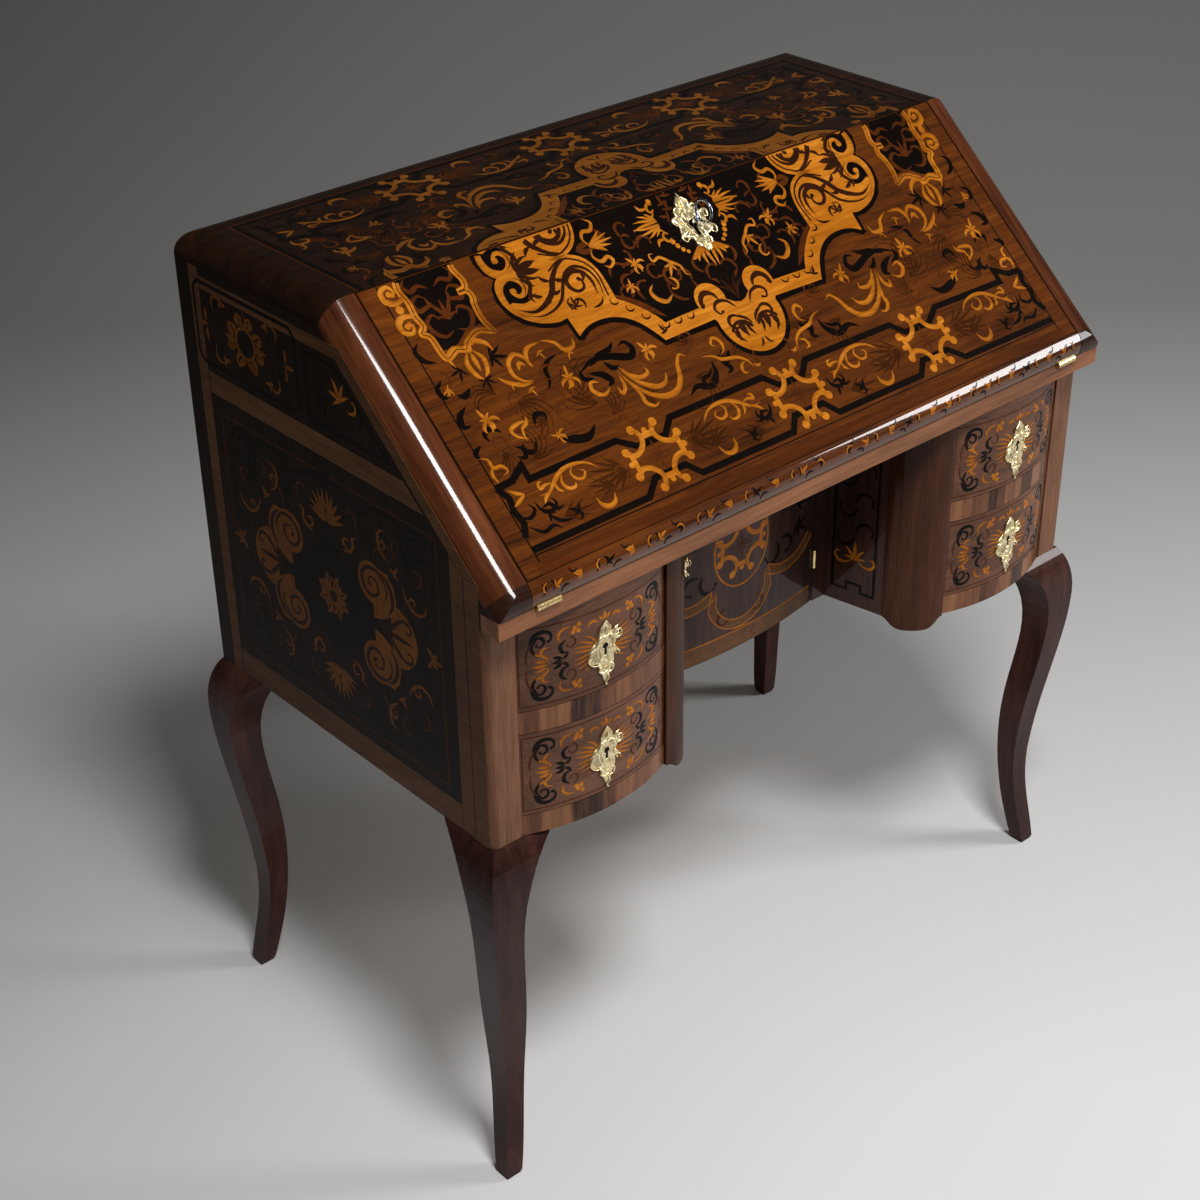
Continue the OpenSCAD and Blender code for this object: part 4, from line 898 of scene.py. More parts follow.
def acanthus_field(b):
    """The big light acanthus, its black companion and the loose sprigs."""
    b.traces("light",
             ([(191, 187), (184, 175), (173, 168), (161, 170), (162, 177)], 5.5),
             ([(190, 180), (176, 162), (160, 152), (147, 154), (141, 163)], 6.5),
             ([(195, 184), (188, 166), (174, 148), (156, 139), (139, 141), (128, 152),
               (122, 166), (114, 175), (106, 171)], 7),
             ([(190, 168), (184, 152), (184, 141), (176, 134), (168, 136)], 5.5),
             ([(196, 180), (196, 166), (203, 159), (205, 168)], 5),
             ([(212, 171), (224, 165), (234, 173), (231, 182), (222, 179)], 5.5),
             ([(66, 157), (57, 163), (56, 173), (63, 179), (69, 173), (65, 169)], 4.5),
             ([(90, 164), (76, 160), (66, 153), (48, 149), (38, 142), (33, 131)], 4.6),
             ([(40, 142), (48, 139), (50, 131), (44, 129)], 4),
             ([(33, 136), (28, 132), (23, 134)], 3.6),
             ([(321, 168), (332, 171), (346, 167), (343, 158), (332, 152)], 4.6),
             ([(322, 176), (326, 168), (334, 163), (336, 150)], 4.2),
             ([(397, 152), (388, 148), (387, 138), (378, 137), (374, 130), (382, 127)], 4.6),
             ([(387, 140), (392, 132), (390, 122)], 4.2))
    for run, w in (([(240, 194), (216, 203), (195, 201), (178, 195), (168, 193), (162, 201),
                     (168, 210), (178, 207)], 7),
                   ([(228, 192), (213, 185), (207, 176), (214, 171)], 7),
                   ([(222, 198), (206, 205), (190, 208), (180, 214)], 6),
                   ([(204, 198), (197, 188), (188, 188)], 5),
                   ([(236, 199), (236, 188), (224, 185)], 5),
                   ([(60, 164), (66, 152), (62, 140), (70, 136)], 5.4),
                   ([(52, 150), (62, 152), (70, 160)], 5),
                   ([(305, 141), (286, 134), (268, 131), (254, 140)], 8),
                   ([(318, 162), (312, 172), (302, 170), (303, 161)], 5),
                   ([(326, 148), (335, 138), (345, 143), (341, 150)], 5),
                   ([(378, 206), (390, 198), (392, 187), (383, 186)], 6),
                   ([(362, 222), (372, 216), (380, 220)], 6),
                   ([(80, 156), (84, 141), (98, 131), (115, 136), (129, 129)], 7),
                   ([(84, 150), (92, 143), (102, 141), (104, 133), (97, 131)], 4),
                   ([(52, 160), (60, 151), (70, 150)], 6),
                   ([(250, 223), (263, 220), (272, 212), (274, 200), (283, 189)], 4.6),
                   ([(380, 258), (392, 264), (396, 276), (388, 284)], 5),
                   ([(352, 150), (344, 144), (348, 136), (357, 140)], 5),
                   ([(386, 240), (396, 232), (394, 222), (386, 222)], 5),
                   ([(356, 168), (366, 176), (376, 172), (374, 163)], 5),
                   ([(386, 164), (396, 158), (394, 148)], 5)):
        b.trace("ebony", run, w * 1.3)
    for run in ([(222, 235), (226, 225), (238, 225), (245, 236), (259, 243)],
                [(260, 242), (278, 240), (285, 229), (283, 219)],
                [(285, 219), (287, 232), (296, 239), (307, 232), (309, 218), (300, 208),
                 (291, 206)],
                [(292, 204), (306, 206), (320, 214), (327, 222)],
                [(300, 220), (296, 228), (290, 224)]):
        b.trace("light", run, 5.5)
    for x, y, heading in ((268, 233, 250), (300, 200, 250), (234, 222, 300), (316, 214, 280)):
        b.spray("light", x, y, heading, 11, 3, 90)
    for row in ((146, 192, 60, 15), (252, 194, 100, 16), (298, 143, 20, 11), (386, 226, 110, 8),
                (364, 184, 70, 17)):
        sprig(b, *row)
    for row in ((236, 160, 20, 84, 1), (322, 190, 190, 70, 1), (228, 142, 150, 50, -1),
                (262, 176, 200, 60, -1), (340, 132, 170, 52, -1), (110, 146, 200, 60, 1),
                (90, 186, 10, 46, 1), (340, 206, 60, 46, -1), (172, 132, 40, 40, 1),
                (24, 152, 80, 40, -1), (300, 168, 330, 46, 1), (368, 150, 250, 40, 1)):
        faint_leaf(b, *row)
    for x, y, heading, turn in ((230, 150, 200, 250), (262, 214, 30, -240), (150, 176, 20, 240),
                                (330, 190, 90, 260), (96, 178, 160, -230), (360, 150, 120, -250),
                                (214, 145, 300, -220), (285, 190, 160, 240), (384, 250, 220, 200),
                                (284, 156, 60, 240), (16, 128, 30, 160), (248, 172, 10, 260)):
        b.curl("brown", x, y, heading, 36, turn, 3.6)
        b.curl("brown", x, y, heading + 150, 16, 90, 3, "leaf")


# %% [markdown]
# ## Frieze
# Two black straps run along the bottom and bend apart and together. Light quatrefoils
# grip them, and between these stands one spray of acanthus, drawn to both sides.

# %% Quatrefoils and frieze
def quatrefoil(b, x, y):
    """Four arcs with round ends that grip two bars, all light."""
    for way in ((1, 1), (1, -1), (-1, 1), (-1, -1)):
        b.pen(way, (x, y))
        b.trace("light", [(12, 33), (8, 24), (11, 16), (18, 10), (27, 8), (34, 13)], 6.2,
                "strap", 0.4)
        b.bead("light", 15, 34, 4.9)
        b.bead("light", 35, 14, 4.9)
    b.pen(move=(x, y))
    for s in (1, -1):
        b.band("light", [(-11, s * 24), (11, s * 24)], 6)
        b.band("light", [(s * 31, -10), (s * 31, 10)], 6)
        b.bead("light", 0, s * 29, 3.4)
        b.bead("light", s * 36, 0, 3.4)
    for heading in (0, 90, 180, 270):
        b.spray("brown", 0, 0, heading, 18, 3, 60, 3)
    b.pen()


def frieze(b):
    """Black strapwork with quatrefoils and acanthus along the bottom."""
    for run in ([(0, 103), (17, 103), (33, 118), (168, 117), (184, 102), (222, 102), (243, 116),
                 (357, 114), (357, 130), (376, 119), (396, 118)],
                [(0, 66), (22, 66), (35, 50), (168, 50), (182, 65), (224, 65), (243, 49),
                 (396, 48)],
                [(396, 118), (389, 104), (392, 90), (389, 76), (396, 62)]):
        b.band("ebony", run, 7.5)
    quatrefoil(b, 205, 86)
    for x, way in ((46, 1), (364, -1)):
        b.pen((way, 1), (x, 0))
        b.traces("light",
                 ([(6, 95), (19, 94), (32, 103), (46, 110), (62, 111), (76, 107), (86, 98)], 5),
                 ([(60, 111), (53, 104), (56, 96), (64, 94), (69, 100), (64, 104)], 3.6),
                 ([(44, 109), (38, 98), (42, 90), (50, 89), (53, 94)], 4.2),
                 ([(30, 102), (30, 94), (35, 89)], 3.6),
                 ([(22, 95), (13, 91), (8, 85)], 4),
                 ([(30, 101), (20, 103), (12, 101), (13, 107), (18, 107)], 4),
                 ([(64, 71), (66, 62), (74, 57), (83, 60), (87, 69)], 6))
        b.traces("ebony",
                 ([(-2, 92), (1, 81), (11, 76), (20, 82), (17, 90)], 5),
                 ([(2, 82), (12, 84), (18, 76), (28, 77)], 5),
                 ([(28, 72), (35, 68), (40, 60), (34, 57)], 4.6),
                 ([(30, 62), (38, 66), (44, 74)], 4.6))
        b.spray("ebony", 8, 78, 250, 13, 3, 90, 4)
        b.curl("brown", 108, 72, 30, 40, 260, 3.6)
        b.spray("pale", 118, 86, 180, 54, 7, 70, 4.2, 20)
        b.spray("pale", 92, 74, 160, 34, 5, 60, 3.4, 20)
        b.spray("pale", 20, 66, 0, 40, 5, 50, 3.6, 20)
    b.pen()
    b.traces("ebony",
             ([(392, 84), (380, 78), (370, 84), (374, 92)], 4.6),
             ([(360, 76), (350, 64), (334, 60)], 4.6),
             ([(386, 70), (374, 60), (360, 62), (352, 56)], 4.6))
    b.trace("light", [(387, 112), (378, 105), (371, 102)], 4.5)
    b.trace("light", [(389, 94), (379, 98), (371, 102)], 4.5)


# %% [markdown]
# ## Laying the drawing on the fall and the top
# On the fall, a point of the drawing goes up the slope and out along the slope's normal.
# On the top it lies flat and runs the other way, so the drawing's lower frieze comes at
# the back. Both are cut where the fall meets the top. The middle quatrefoil stands on
# the centre line, so it is drawn once, unmirrored. Dark lines frame both drawings; the
# outermost one on the fall is painted shadow, a dark line for the gap between the fall
# and the slope moulding.

# %% Fall and top
SLOPE = math.radians(41)
FALL_T = 20.7
FALL_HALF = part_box("fall_board")[1][0] / MM
TOP_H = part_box("top_board")[1][2] / MM
WRITING_H = 747.0
FRONT_Y = -241.96
HINGE_Y = FRONT_Y - 27
RIDGE_S = (TOP_H - WRITING_H - FALL_T * math.cos(SLOPE)) / math.sin(SLOPE)
RIDGE_Y = HINGE_Y + RIDGE_S * math.cos(SLOPE) - FALL_T * math.sin(SLOPE)
FALL_LIMIT = RIDGE_S - 1.6
TURNED_AT = 262.0
TOP_LIMIT = TURNED_AT - RIDGE_Y - 1
FAINT = {"pale": "shadow_veneer"}
# The top and the sides take the darker copy of the light veneer, as painted shade.
PAINTED_SHADE_WOODS = {"light": "painted_shade_veneer", **FAINT}


def on_fall(x, s, h):
    """Up the slope by s, out from the fall's outer face by h."""
    out = FALL_T + h
    return np.stack([x, HINGE_Y + s * math.cos(SLOPE) - out * math.sin(SLOPE),
                     WRITING_H + s * math.sin(SLOPE) + out * math.cos(SLOPE)], 1)


def on_top(x, s, h):
    """Flat on the top, with the drawing's s running from back to front."""
    return np.stack([x, TURNED_AT - s, TOP_H + h], 1)


def draw_slope(b):
    """The whole drawing, common to the fall and the top."""
    for figure in (cartouche_ground, arch_leaf, lobe_leaves, cartouche_sprigs, acanthus_field,
                   corner_piece, frieze):
        figure(b)


fall_board = Board("fall_marquetry", "fall", on_fall, limit=FALL_LIMIT, woods=FAINT)
draw_slope(fall_board)
scroll_figure(fall_board)
for wood_name, run, w in (("ebony", [(396.5, 22), (396.5, FALL_LIMIT)], 1.6),
                          ("ebony", [(0, 42), (396.5, 42)], 1.4),
                          ("brown", [(0, 28.5), (402, 28.5)], 12),
                          ("ebony", [(0, 22.2), (420, 22.2)], 1.2),
                          # Painted shadow: this band at the fall's very edge stands for the dark
                          # gap beside the slope moulding.
                          ("ebony", [(FALL_HALF - 1, 22), (FALL_HALF - 1, FALL_LIMIT)], 1.6)):
    fall_board.band(wood_name, run, w)
fall_board.lay()

top_board = Board("top_marquetry", "carcass", on_top, limit=TOP_LIMIT, woods=PAINTED_SHADE_WOODS)
draw_slope(top_board)
top_board.band("ebony", [(0, 50), (411, 50), (411, TOP_LIMIT)], 7)
top_board.band("brown", [(0, 45.5), (415.5, 45.5), (415.5, TOP_LIMIT)], 1.3)
top_board.lay()

for name, body, place, limit, woods in (("fall_middle", "fall", on_fall, FALL_LIMIT, {}),
                                        ("top_middle", "carcass", on_top, 200, PAINTED_SHADE_WOODS)):
    middle = Board(name, body, place, (1,), limit, woods)
    quatrefoil(middle, 0, 86)
    middle.lay()

# %% [markdown]
# ## Rounded edge of the fall
# The fall's lower edge is a quarter cylinder. A point of the drawing below its upper
# tangent walks round the curve by its arc length. The loose sprigs on it are small and
# narrow, so that the veneer follows the bend. At its foremost line the veneer is kept
# flush with the desk's own front limit.

# %% Rounded edge of the fall
def on_nose(x, s, h):
    """Above the tangent on the plane, below it round the quarter cylinder."""
    turn = np.clip((FALL_T - s) / FALL_T, 0, None)
    out = np.where(turn > 0, (FALL_T + h) * np.cos(turn), FALL_T + h) - FALL_T
    low = np.where(turn > 0, FALL_T - (FALL_T + h) * np.sin(turn), s)
    spot = on_fall(x, low, out)
    spot[:, 1] = np.maximum(spot[:, 1], cad_box[0][1] / MM)
    return spot


nose = Board("fall_edge_marquetry", "fall", on_nose)
for k, x in enumerate(np.arange(18, 420, 34)):
    heading = 150 if k % 2 else 30
    nose.spray("light" if k % 3 else "ebony", x, 6, heading, 12, 3, 80, 3.4)
    nose.curl("light", x + 10, 10 - 8 * (k % 2), 180 - heading, 16, 160, 2.6)
    nose.curl("ebony", x + 16, 2, heading, 15, -140, 3)
    nose.curl("ebony", x + 4, 14, -heading, 13, 140, 3)
nose.lay()

# %% [markdown]
# ## Sides
# Each side has two fields framed by pale walnut strips. The lower field is drawn round
# its own middle: a rosette on a black star, four light scroll discs joined by an outer
# lobe, palms above and below, loose curls, and dark strapwork with a ringed rosette in
# each corner. Most motifs are drawn for above and below the middle in one loop.

# %% Sides
SIDE_X = 460.0
SIDE_MID = (10.0, 655.0)
UPPER_MID = (133.0, 903.0)


def on_side(sign, middle):
    """Outwards from a side panel, in coordinates round a middle (y, z)."""
    def place(u, v, h):
        return np.stack([sign * (SIDE_X + h), u + middle[0], v + middle[1]], 1)
    return place


def side_field(b):
    """The lower field of a side, drawn for v above and below its middle."""
    b.field("ebony", [(0, 66), (16, 62), (24, 50), (40, 50), (52, 62), (70, 58), (80, 40),
                      (80, 0), (80, -40), (70, -58), (52, -62), (40, -50), (24, -50),
                      (16, -62), (0, -66)])
    b.field("light", arc(108, 0, 37, -98, 98, 28))
    for a in (67.5, 22.5, -22.5, -67.5):
        b.curl("light", *ray(a, 9), a, 19, 10, 10.5, "leaf")
        b.curl("line", *ray(a, 14), a, 10, 20, 2, "leaf")
    for a in (90, 45, 0, -45, -90):
        b.curl("light", *ray(a, 10), a, 13, -10, 7, "leaf")
    b.field("light", arc(0, 0, 12, -90, 90, 12), 0.005)
    b.field("line", arc(0, 0, 7.5, -90, 90, 10), 0.01)
    for heading in (0, 34, -34):
        b.curl("line", 92, 0, heading, 46 - abs(heading) * 0.3, heading * 0.8, 6, "leaf")
    for s in b.above_below():
        b.field("light", [*arc(74, 48, 25, -92, -300, 24), (100, 70), (110, 58), (114, 42),
                          (110, 28), (100, 18), (86, 10), (73, 7)], 0.012)
        b.traces("line",
                 ([(98, 20), (107, 34), (106, 50), (98, 62), (90, 66)], 6),
                 ([(92, 34), (98, 44), (94, 58), (82, 66), (66, 64), (56, 52), (60, 38),
                   (72, 33), (83, 40), (82, 52), (72, 55), (67, 48), (72, 44)], 5, "horn"),
                 ([(112, 14), (122, 24), (134, 22), (135, 13), (127, 12)], 4.6, "horn"))
        for x, y in ((4, 128), (-6, 118), (13, 124), (22, 118), (29, 108), (30, 98)):
            b.trace("light", [(2, 88), (x * 0.45 + 2, 88 + (y - 88) * 0.55), (x, y)], 5.6)
        b.traces("light",
                 ([(24, 67), (36, 69), (44, 78), (43, 87), (51, 90)], 5),
                 ([(36, 69), (27, 75), (30, 83), (37, 81)], 4, "horn"),
                 ([(103, 121), (92, 116), (89, 104), (94, 92), (106, 84)], 4.4),
                 ([(90, 100), (96, 107), (101, 102), (97, 98)], 3.4, "horn"),
                 ([(126, 68), (131, 54), (145, 44), (160, 48), (166, 60)], 4.4),
                 ([(134, 50), (139, 58), (146, 56), (143, 51)], 3.4, "horn"))
        b.spray("light", 112, 74, 55, 13, 3, 120, 5)
        b.spray("light", 168, 2, 74, 20, 2, 60, 6)
        b.band("ebony", [(0, 139), (30, 139), (38, 130), (52, 130), (60, 122), (72, 130),
                         (82, 139), (122, 139)], 5)
        b.band("ebony", [(176, 92), (176, 42), (166, 32)], 5)
        # The ringed rosette turns the same way round in both corners.
        for r, w in ((22, 5), (12, 4)):
            b.trace("ebony", arc(150, 118, r, s * 10, s * 352, 20), w, "strap")
        for a in (s * 45, s * 135, s * 225, s * 315):
            b.curl("ebony", *(ray(a, 22) + (150, 118)), a, 14, s * 120, 4)
        for row in ((16, 128, 150, 26, 200, 4.5), (60, 120, 250, 26, -200, 4.5),
                    (92, 128, 330, 26, -210, 4.5), (164, 30, 200, 26, 210, 4.5)):
            b.curl("ebony", *row)
        b.spray("ebony", 70, 92, 60, 22, 5, 140, 4)
        b.spray("ebony", 134, 84, 30, 20, 5, 140, 4)
        for row in ((50, 100, 60, 34, 200, 3.6), (120, 96, 150, 34, -200, 3.6),
                    (150, 76, 20, 34, 220, 3.6), (80, 80, 90, 34, -160, 3.6)):
            b.curl("brown", *row)
        b.trace("brown", [(10, 146), (186, 146)], 1.6, "strap")
    b.trace("brown", [(186, -146), (186, 146)], 1.6, "strap")
    b.curl("light", 166, 0, 0, 20, 0, 6.5, "leaf")


def side_wreath(b):
    """The oval wreath of the upper field with its trefoils and flowers."""
    for a in (-66, -22, 22, 66):
        b.curl("light", *ray(a, (15, 14)), a + 60, 26, -150, 6)
        b.curl("light", *ray(a, (19, 18)), a - 10, 16, 50, 6, "leaf")
        b.curl("light", *ray(a, (22, 20)), a - 44, 13, 90, 4.5, "leaf")
    for a in (-90, 0, 90):
        b.spray("light", *ray(a, (20, 18)), a, 18, 3, 70, 6)
    b.even("light", arc(0, 0, 17, -90, 90, 20), 3)
    for _ in b.above_below():
        b.trace("light", [(57, 18), (59, 30), (52, 37), (42, 35)], 3.6)
        b.spray("light", 44, 33, 190, 11, 3, 120, 5)
        b.curl("light", 72, 3, 75, 16, 40, 5, "leaf")
        b.curl("ebony", 60, 10, 60, 40, 240, 5)
        b.band("ebony", [(0, 46), (84, 46), (92, 38), (92, 0)], 4.5)
    b.curl("light", 70, 0, 0, 18, 0, 6, "leaf")


def side_strips(b):
    """The pale strips round both fields, their dark lines, and a sprig in the wedge."""
    for outline in ([(-239, 463), (-217, 463), (-217, 776), (-239, 776)],
                    [(-216, 463), (-196, 463), (-196, 793), (-216, 776)],
                    [(213, 463), (231, 463), (231, 964), (213, 964)],
                    [(-160, 821), (212, 821), (212, 847), (-129, 847)],
                    [(-238, 777), (-216, 777), (-29, 941), (212, 941), (212, 955), (-36, 955)]):
        b.field("pale", outline)
    b.field("pale", [(-195, 463), (212, 463), (212, 495), (-195, 495)], 0.01)
    for edge in ([(-195.5, 496), (-195.5, 795)], [(212.5, 464), (212.5, 964)],
                 [(-160, 820.5), (212, 820.5)], [(-129, 847.5), (212, 847.5)],
                 [(-195, 495.5), (212, 495.5)], [(-216.5, 464), (-216.5, 776)]):
        b.band("ebony", edge, 1.4)
    b.band("ebony", [(-108, 858), (26, 858), (26, 932), (-26, 932)], 4.5, True)
    b.spray("light", -34, 896, 60, 26, 5, 130)
    b.spray("ebony", -8, 884, 20, 26, 5, 150)
    b.curl("light", -44, 890, 200, 28, -200, 4)
    b.curl("ebony", -60, 878, 150, 30, -220, 5)


for sign, hand in ((-1, "left"), (1, "right")):
    for piece, middle, sides, woods, drawing in (
            ("side_marquetry", SIDE_MID, (1, -1), PAINTED_SHADE_WOODS, side_field),
            ("wreath", UPPER_MID, (1, -1), PAINTED_SHADE_WOODS, side_wreath),
            ("side_strips", (0, 0), (1,), {}, side_strips)):
        board = Board(f"{hand}_{piece}", "carcass", on_side(sign, middle), sides, woods=woods)
        drawing(board)
        board.lay()

# %% [markdown]
# ## Drawer fronts
# The fronts are bowed, and each carries the same small drawing round its keyhole: an
# acanthus fan on each side of the escutcheon, C-scrolls with a trefoil, and black
# spirals at the ends. A point of the drawing goes round the arc by its angle.

# %% Drawers
BOW_OUT = np.array([422.0, FRONT_Y - 1])
BOW_IN = np.array([227.0, FRONT_Y - 8.5])
BOW_RISE = 21.0
chord = np.linalg.norm(BOW_OUT - BOW_IN)
chord_way = (BOW_OUT - BOW_IN) / chord
BOW_R = (chord ** 2 / 4 + BOW_RISE ** 2) / (2 * BOW_RISE)
BOW_C = (BOW_OUT + BOW_IN) / 2 + (BOW_R - BOW_RISE) * np.array([-chord_way[1], chord_way[0]])
DRAWER_X = (BOW_OUT[0] + BOW_IN[0]) / 2
DRAWER_KEYS = {"left_lower_drawer": (-1, 537.0), "left_upper_drawer": (-1, 665.0),
               "right_lower_drawer": (1, 537.0), "right_upper_drawer": (1, 665.0)}


def on_bow(sign, key_z):
    """Round the bowed front from the keyhole, outwards along the arc's radius."""
    def place(u, v, h):
        lean = np.arcsin((DRAWER_X + sign * u - BOW_C[0]) / BOW_R)
        return np.stack([sign * (BOW_C[0] + (BOW_R + h) * np.sin(lean)),
                         BOW_C[1] - (BOW_R + h) * np.cos(lean), v + key_z], 1)
    return place


def drawer_drawing(b):
    """Half of a drawer's drawing, mirrored by the board."""
    for _ in b.above_below():
        b.trace("ebony", [(75, 11), (81, 20), (81, 31), (76, 38), (68, 39), (62, 35), (62, 28),
                          (66, 27)], 5.2, "horn")
        b.trace("ebony", [(80, 24), (76, 33), (70, 31), (69, 25), (74, 22), (77, 26)], 3.6,
                "horn")
        b.trace("light", [(67, 2), (66, 7), (72, 13), (70, 19), (64, 20)], 3.6)
        b.curl("light", 67, 3, 24, 12, -30, 4, "leaf")
        b.curl("light", 71, 12, 10, 8, 40, 3.2, "leaf")
        b.trace("light", [(52, 21), (54, 30), (49, 36), (40, 37)], 3.2)
        for x, y in ((36, 34), (31, 37), (32, 30), (38, 30)):
            b.bead("light", x, y, 2.6)
        b.trace("ebony", [(45, 24), (52, 18), (50, 10), (42, 8)], 4.6)
        b.curl("ebony", 50, 2, 35, 12, -30, 4.4, "leaf")
        b.curl("ebony", 50, 2, 150, 9, -30, 4, "leaf")
        for heading, length, turn in ((70, 27, -60), (44, 30, -40), (22, 31, -16), (2, 31, 8)):
            b.curl("light", 8, 2, heading, length, turn, 2.7, "leaf")
        b.curl("brown", 42, 26, 200, 26, 260, 2.6)
        b.curl("brown", 86, 2, 80, 30, 60, 2.4, "leaf")
    b.curl("light", 66, 0, 0, 15, 0, 4.4, "leaf")
    b.curl("ebony", 50, 0, 0, 11, 0, 4.4, "leaf")
    b.trace("light", [(1, 31), (1, 35), (0, 41)], 3.6)
    b.curl("light", 3, 31, 70, 8, -30, 3, "leaf")
    b.trace("light", [(8, 30), (13, 34), (19, 33), (20, 29)], 3.6)
    b.traces("brown",
             ([(94, -45), (94, 45)], 1.4, "strap"),
             ([(94, 45), (60, 45), (30, 45), (0, 45)], 1.4, "strap"),
             ([(94, -45), (60, -45), (30, -45), (0, -45)], 1.4, "strap"))


for name, (sign, key_z) in DRAWER_KEYS.items():
    front = Board(f"{name}_marquetry", name, on_bow(sign, key_z))
    drawer_drawing(front)
    front.lay()

# %% [markdown]
# ## Door and kneehole
# The cupboard door has a round-lobed strap between two light lines, and an oval in the
# middle. The splayed facings beside it have dark strapwork and one light sprig, so
# little light reaches them that more would be lost.

# %% Door and kneehole
DOOR_Y = FRONT_Y + 117.0
DOOR_HALF = 136.0
DOOR_BOW = 14.0
DOOR_R = (DOOR_HALF ** 2 + DOOR_BOW ** 2) / (2 * DOOR_BOW)
DOOR_MID = 600.0
KNEE_FRONT = np.array([173.0, FRONT_Y - 12.5 + 50])
KNEE_BACK = np.array([158.0, DOOR_Y])


def on_door(u, v, h):
    """Round the door's shallow bow, outwards along its radius."""
    lean = np.arcsin(u / DOOR_R)
    return np.stack([(DOOR_R + h) * np.sin(lean),
                     DOOR_Y - DOOR_BOW + DOOR_R - (DOOR_R + h) * np.cos(lean),
                     v + DOOR_MID], 1)


def strap_line(offset):
    """Half of the door's strap: bottom lobe, a step, then the side lobe."""
    return np.vstack([arc(0, -55, 48 + offset, -90, -18, 24),
                      arc(78, 0, 60 - offset, -126, -38, 22)])


door = Board("door_marquetry", "door", on_door)
for _ in door.above_below():
    for offset, wood_name, w in ((0, "pale", 11), (6, "light", 1.6), (-6, "light", 1.6)):
        door.even(wood_name, strap_line(offset), w)
    door.curl("ebony", 60, 20, 60, 50, 220, 6)
    door.curl("ebony", 66, -20, 20, 46, -220, 6)
    door.spray("ebony", 96, 14, 30, 26, 5, 120)
    door.curl("brown", 24, 76, 10, 40, 230, 5)
door.even("light", arc(0, 0, 1, -90, 90, 44) * (43, 52), 2.2)
foot = np.stack([np.linspace(0, 128, 24), np.full(24, -112.0)], 1)
door.even("pale", foot - (0, 12), 22)
door.even("light", foot, 1.6)
door.lay()
middle = Board("door_middle", "door", on_door, (1,))
quatrefoil(middle, 0, 0)
middle.lay()


def on_facing(sign):
    """Along a splayed facing from its front edge, outwards into the kneehole."""
    way = (KNEE_BACK - KNEE_FRONT) / np.linalg.norm(KNEE_BACK - KNEE_FRONT)
    normal = np.array([-way[1], way[0]])

    def place(u, v, h):
        x = KNEE_FRONT[0] + way[0] * u + normal[0] * h
        y = KNEE_FRONT[1] + way[1] * u + normal[1] * h
        return np.stack([sign * x, y, v], 1)
    return place


for sign, name in ((-1, "left"), (1, "right")):
    facing = Board(f"{name}_kneehole_marquetry", "carcass", on_facing(sign), (1,))
    facing.band("ebony", [(12, 482), (30, 482), (30, 492), (50, 492), (50, 482), (70, 482),
                          (70, 706), (50, 706), (50, 696), (30, 696), (30, 706), (12, 706)],
                4, True)
    for v, heading in ((560, 90), (640, 90), (600, 270)):
        facing.curl("ebony", 40, v, heading, 46, 220, 5)
        facing.curl("ebony", 42, v, heading + 180, 46, 220, 5)
    facing.spray("light", 40, 524, 90, 26, 5, 110, 4.6)
    for _ in facing.left_right(40):
        facing.trace("light", [(0, 528), (11, 520), (21, 519), (27, 525), (25, 532), (20, 530)],
                     4)
    facing.lay()

# %% [markdown]
# ## Cast escutcheons
# A rocaille escutcheon is cast in brass from a carved pattern and chased: a plain shield
# round the keyhole, a fluted shell on one side, C-scrolls on the other, a leaf on top
# and a drop below. Here the plate is a relief over a polar grid: its rim is a radius
# that changes with the angle, its height has a collar at the keyhole, flutes in the
# middle and a rolled edge. Round ribs with curled ends are laid on it as scrolls, and a
# dark patch behind the keyhole of a drawer or the door stands for the shadow in it.

# %% Relief plates
RIM = ((0, 13), (12, 15), (25, 22), (34, 15), (44, 24), (53, 17), (64, 18), (76, 24), (88, 30),
       (98, 25), (108, 20), (122, 16), (138, 14), (155, 15), (170, 18), (185, 21), (200, 23),
       (215, 24), (230, 24), (243, 21), (252, 27), (262, 34), (270, 46), (279, 33), (288, 29),
       (300, 22), (312, 16), (326, 22), (336, 16), (348, 12))
FALL_RIM = ((0, 20), (14, 22), (26, 26), (36, 22), (50, 25), (64, 22), (76, 29), (90, 37),
            (104, 30), (114, 24), (128, 26), (142, 22), (154, 26), (166, 22), (180, 20),
            (194, 23), (208, 26), (222, 22), (236, 20), (248, 25), (260, 30), (270, 36),
            (280, 30), (292, 25), (304, 20), (318, 23), (332, 26), (346, 22))
PLATE_ROWS = 15
PLATE_COLS = 180
RIB_LIFT = 1.2


def rim_radius(rim, angle):
    """The rim's radius at each angle, wrapped round and softened."""
    spots, radii = np.array(rim, float).T
    fine = np.arange(0, 360, 1.5)
    r = np.interp(fine, spots, radii, period=360)
    soft = (np.roll(r, 1) + 2 * r + np.roll(r, -1)) / 4
    return np.interp(angle, fine, soft, period=360)


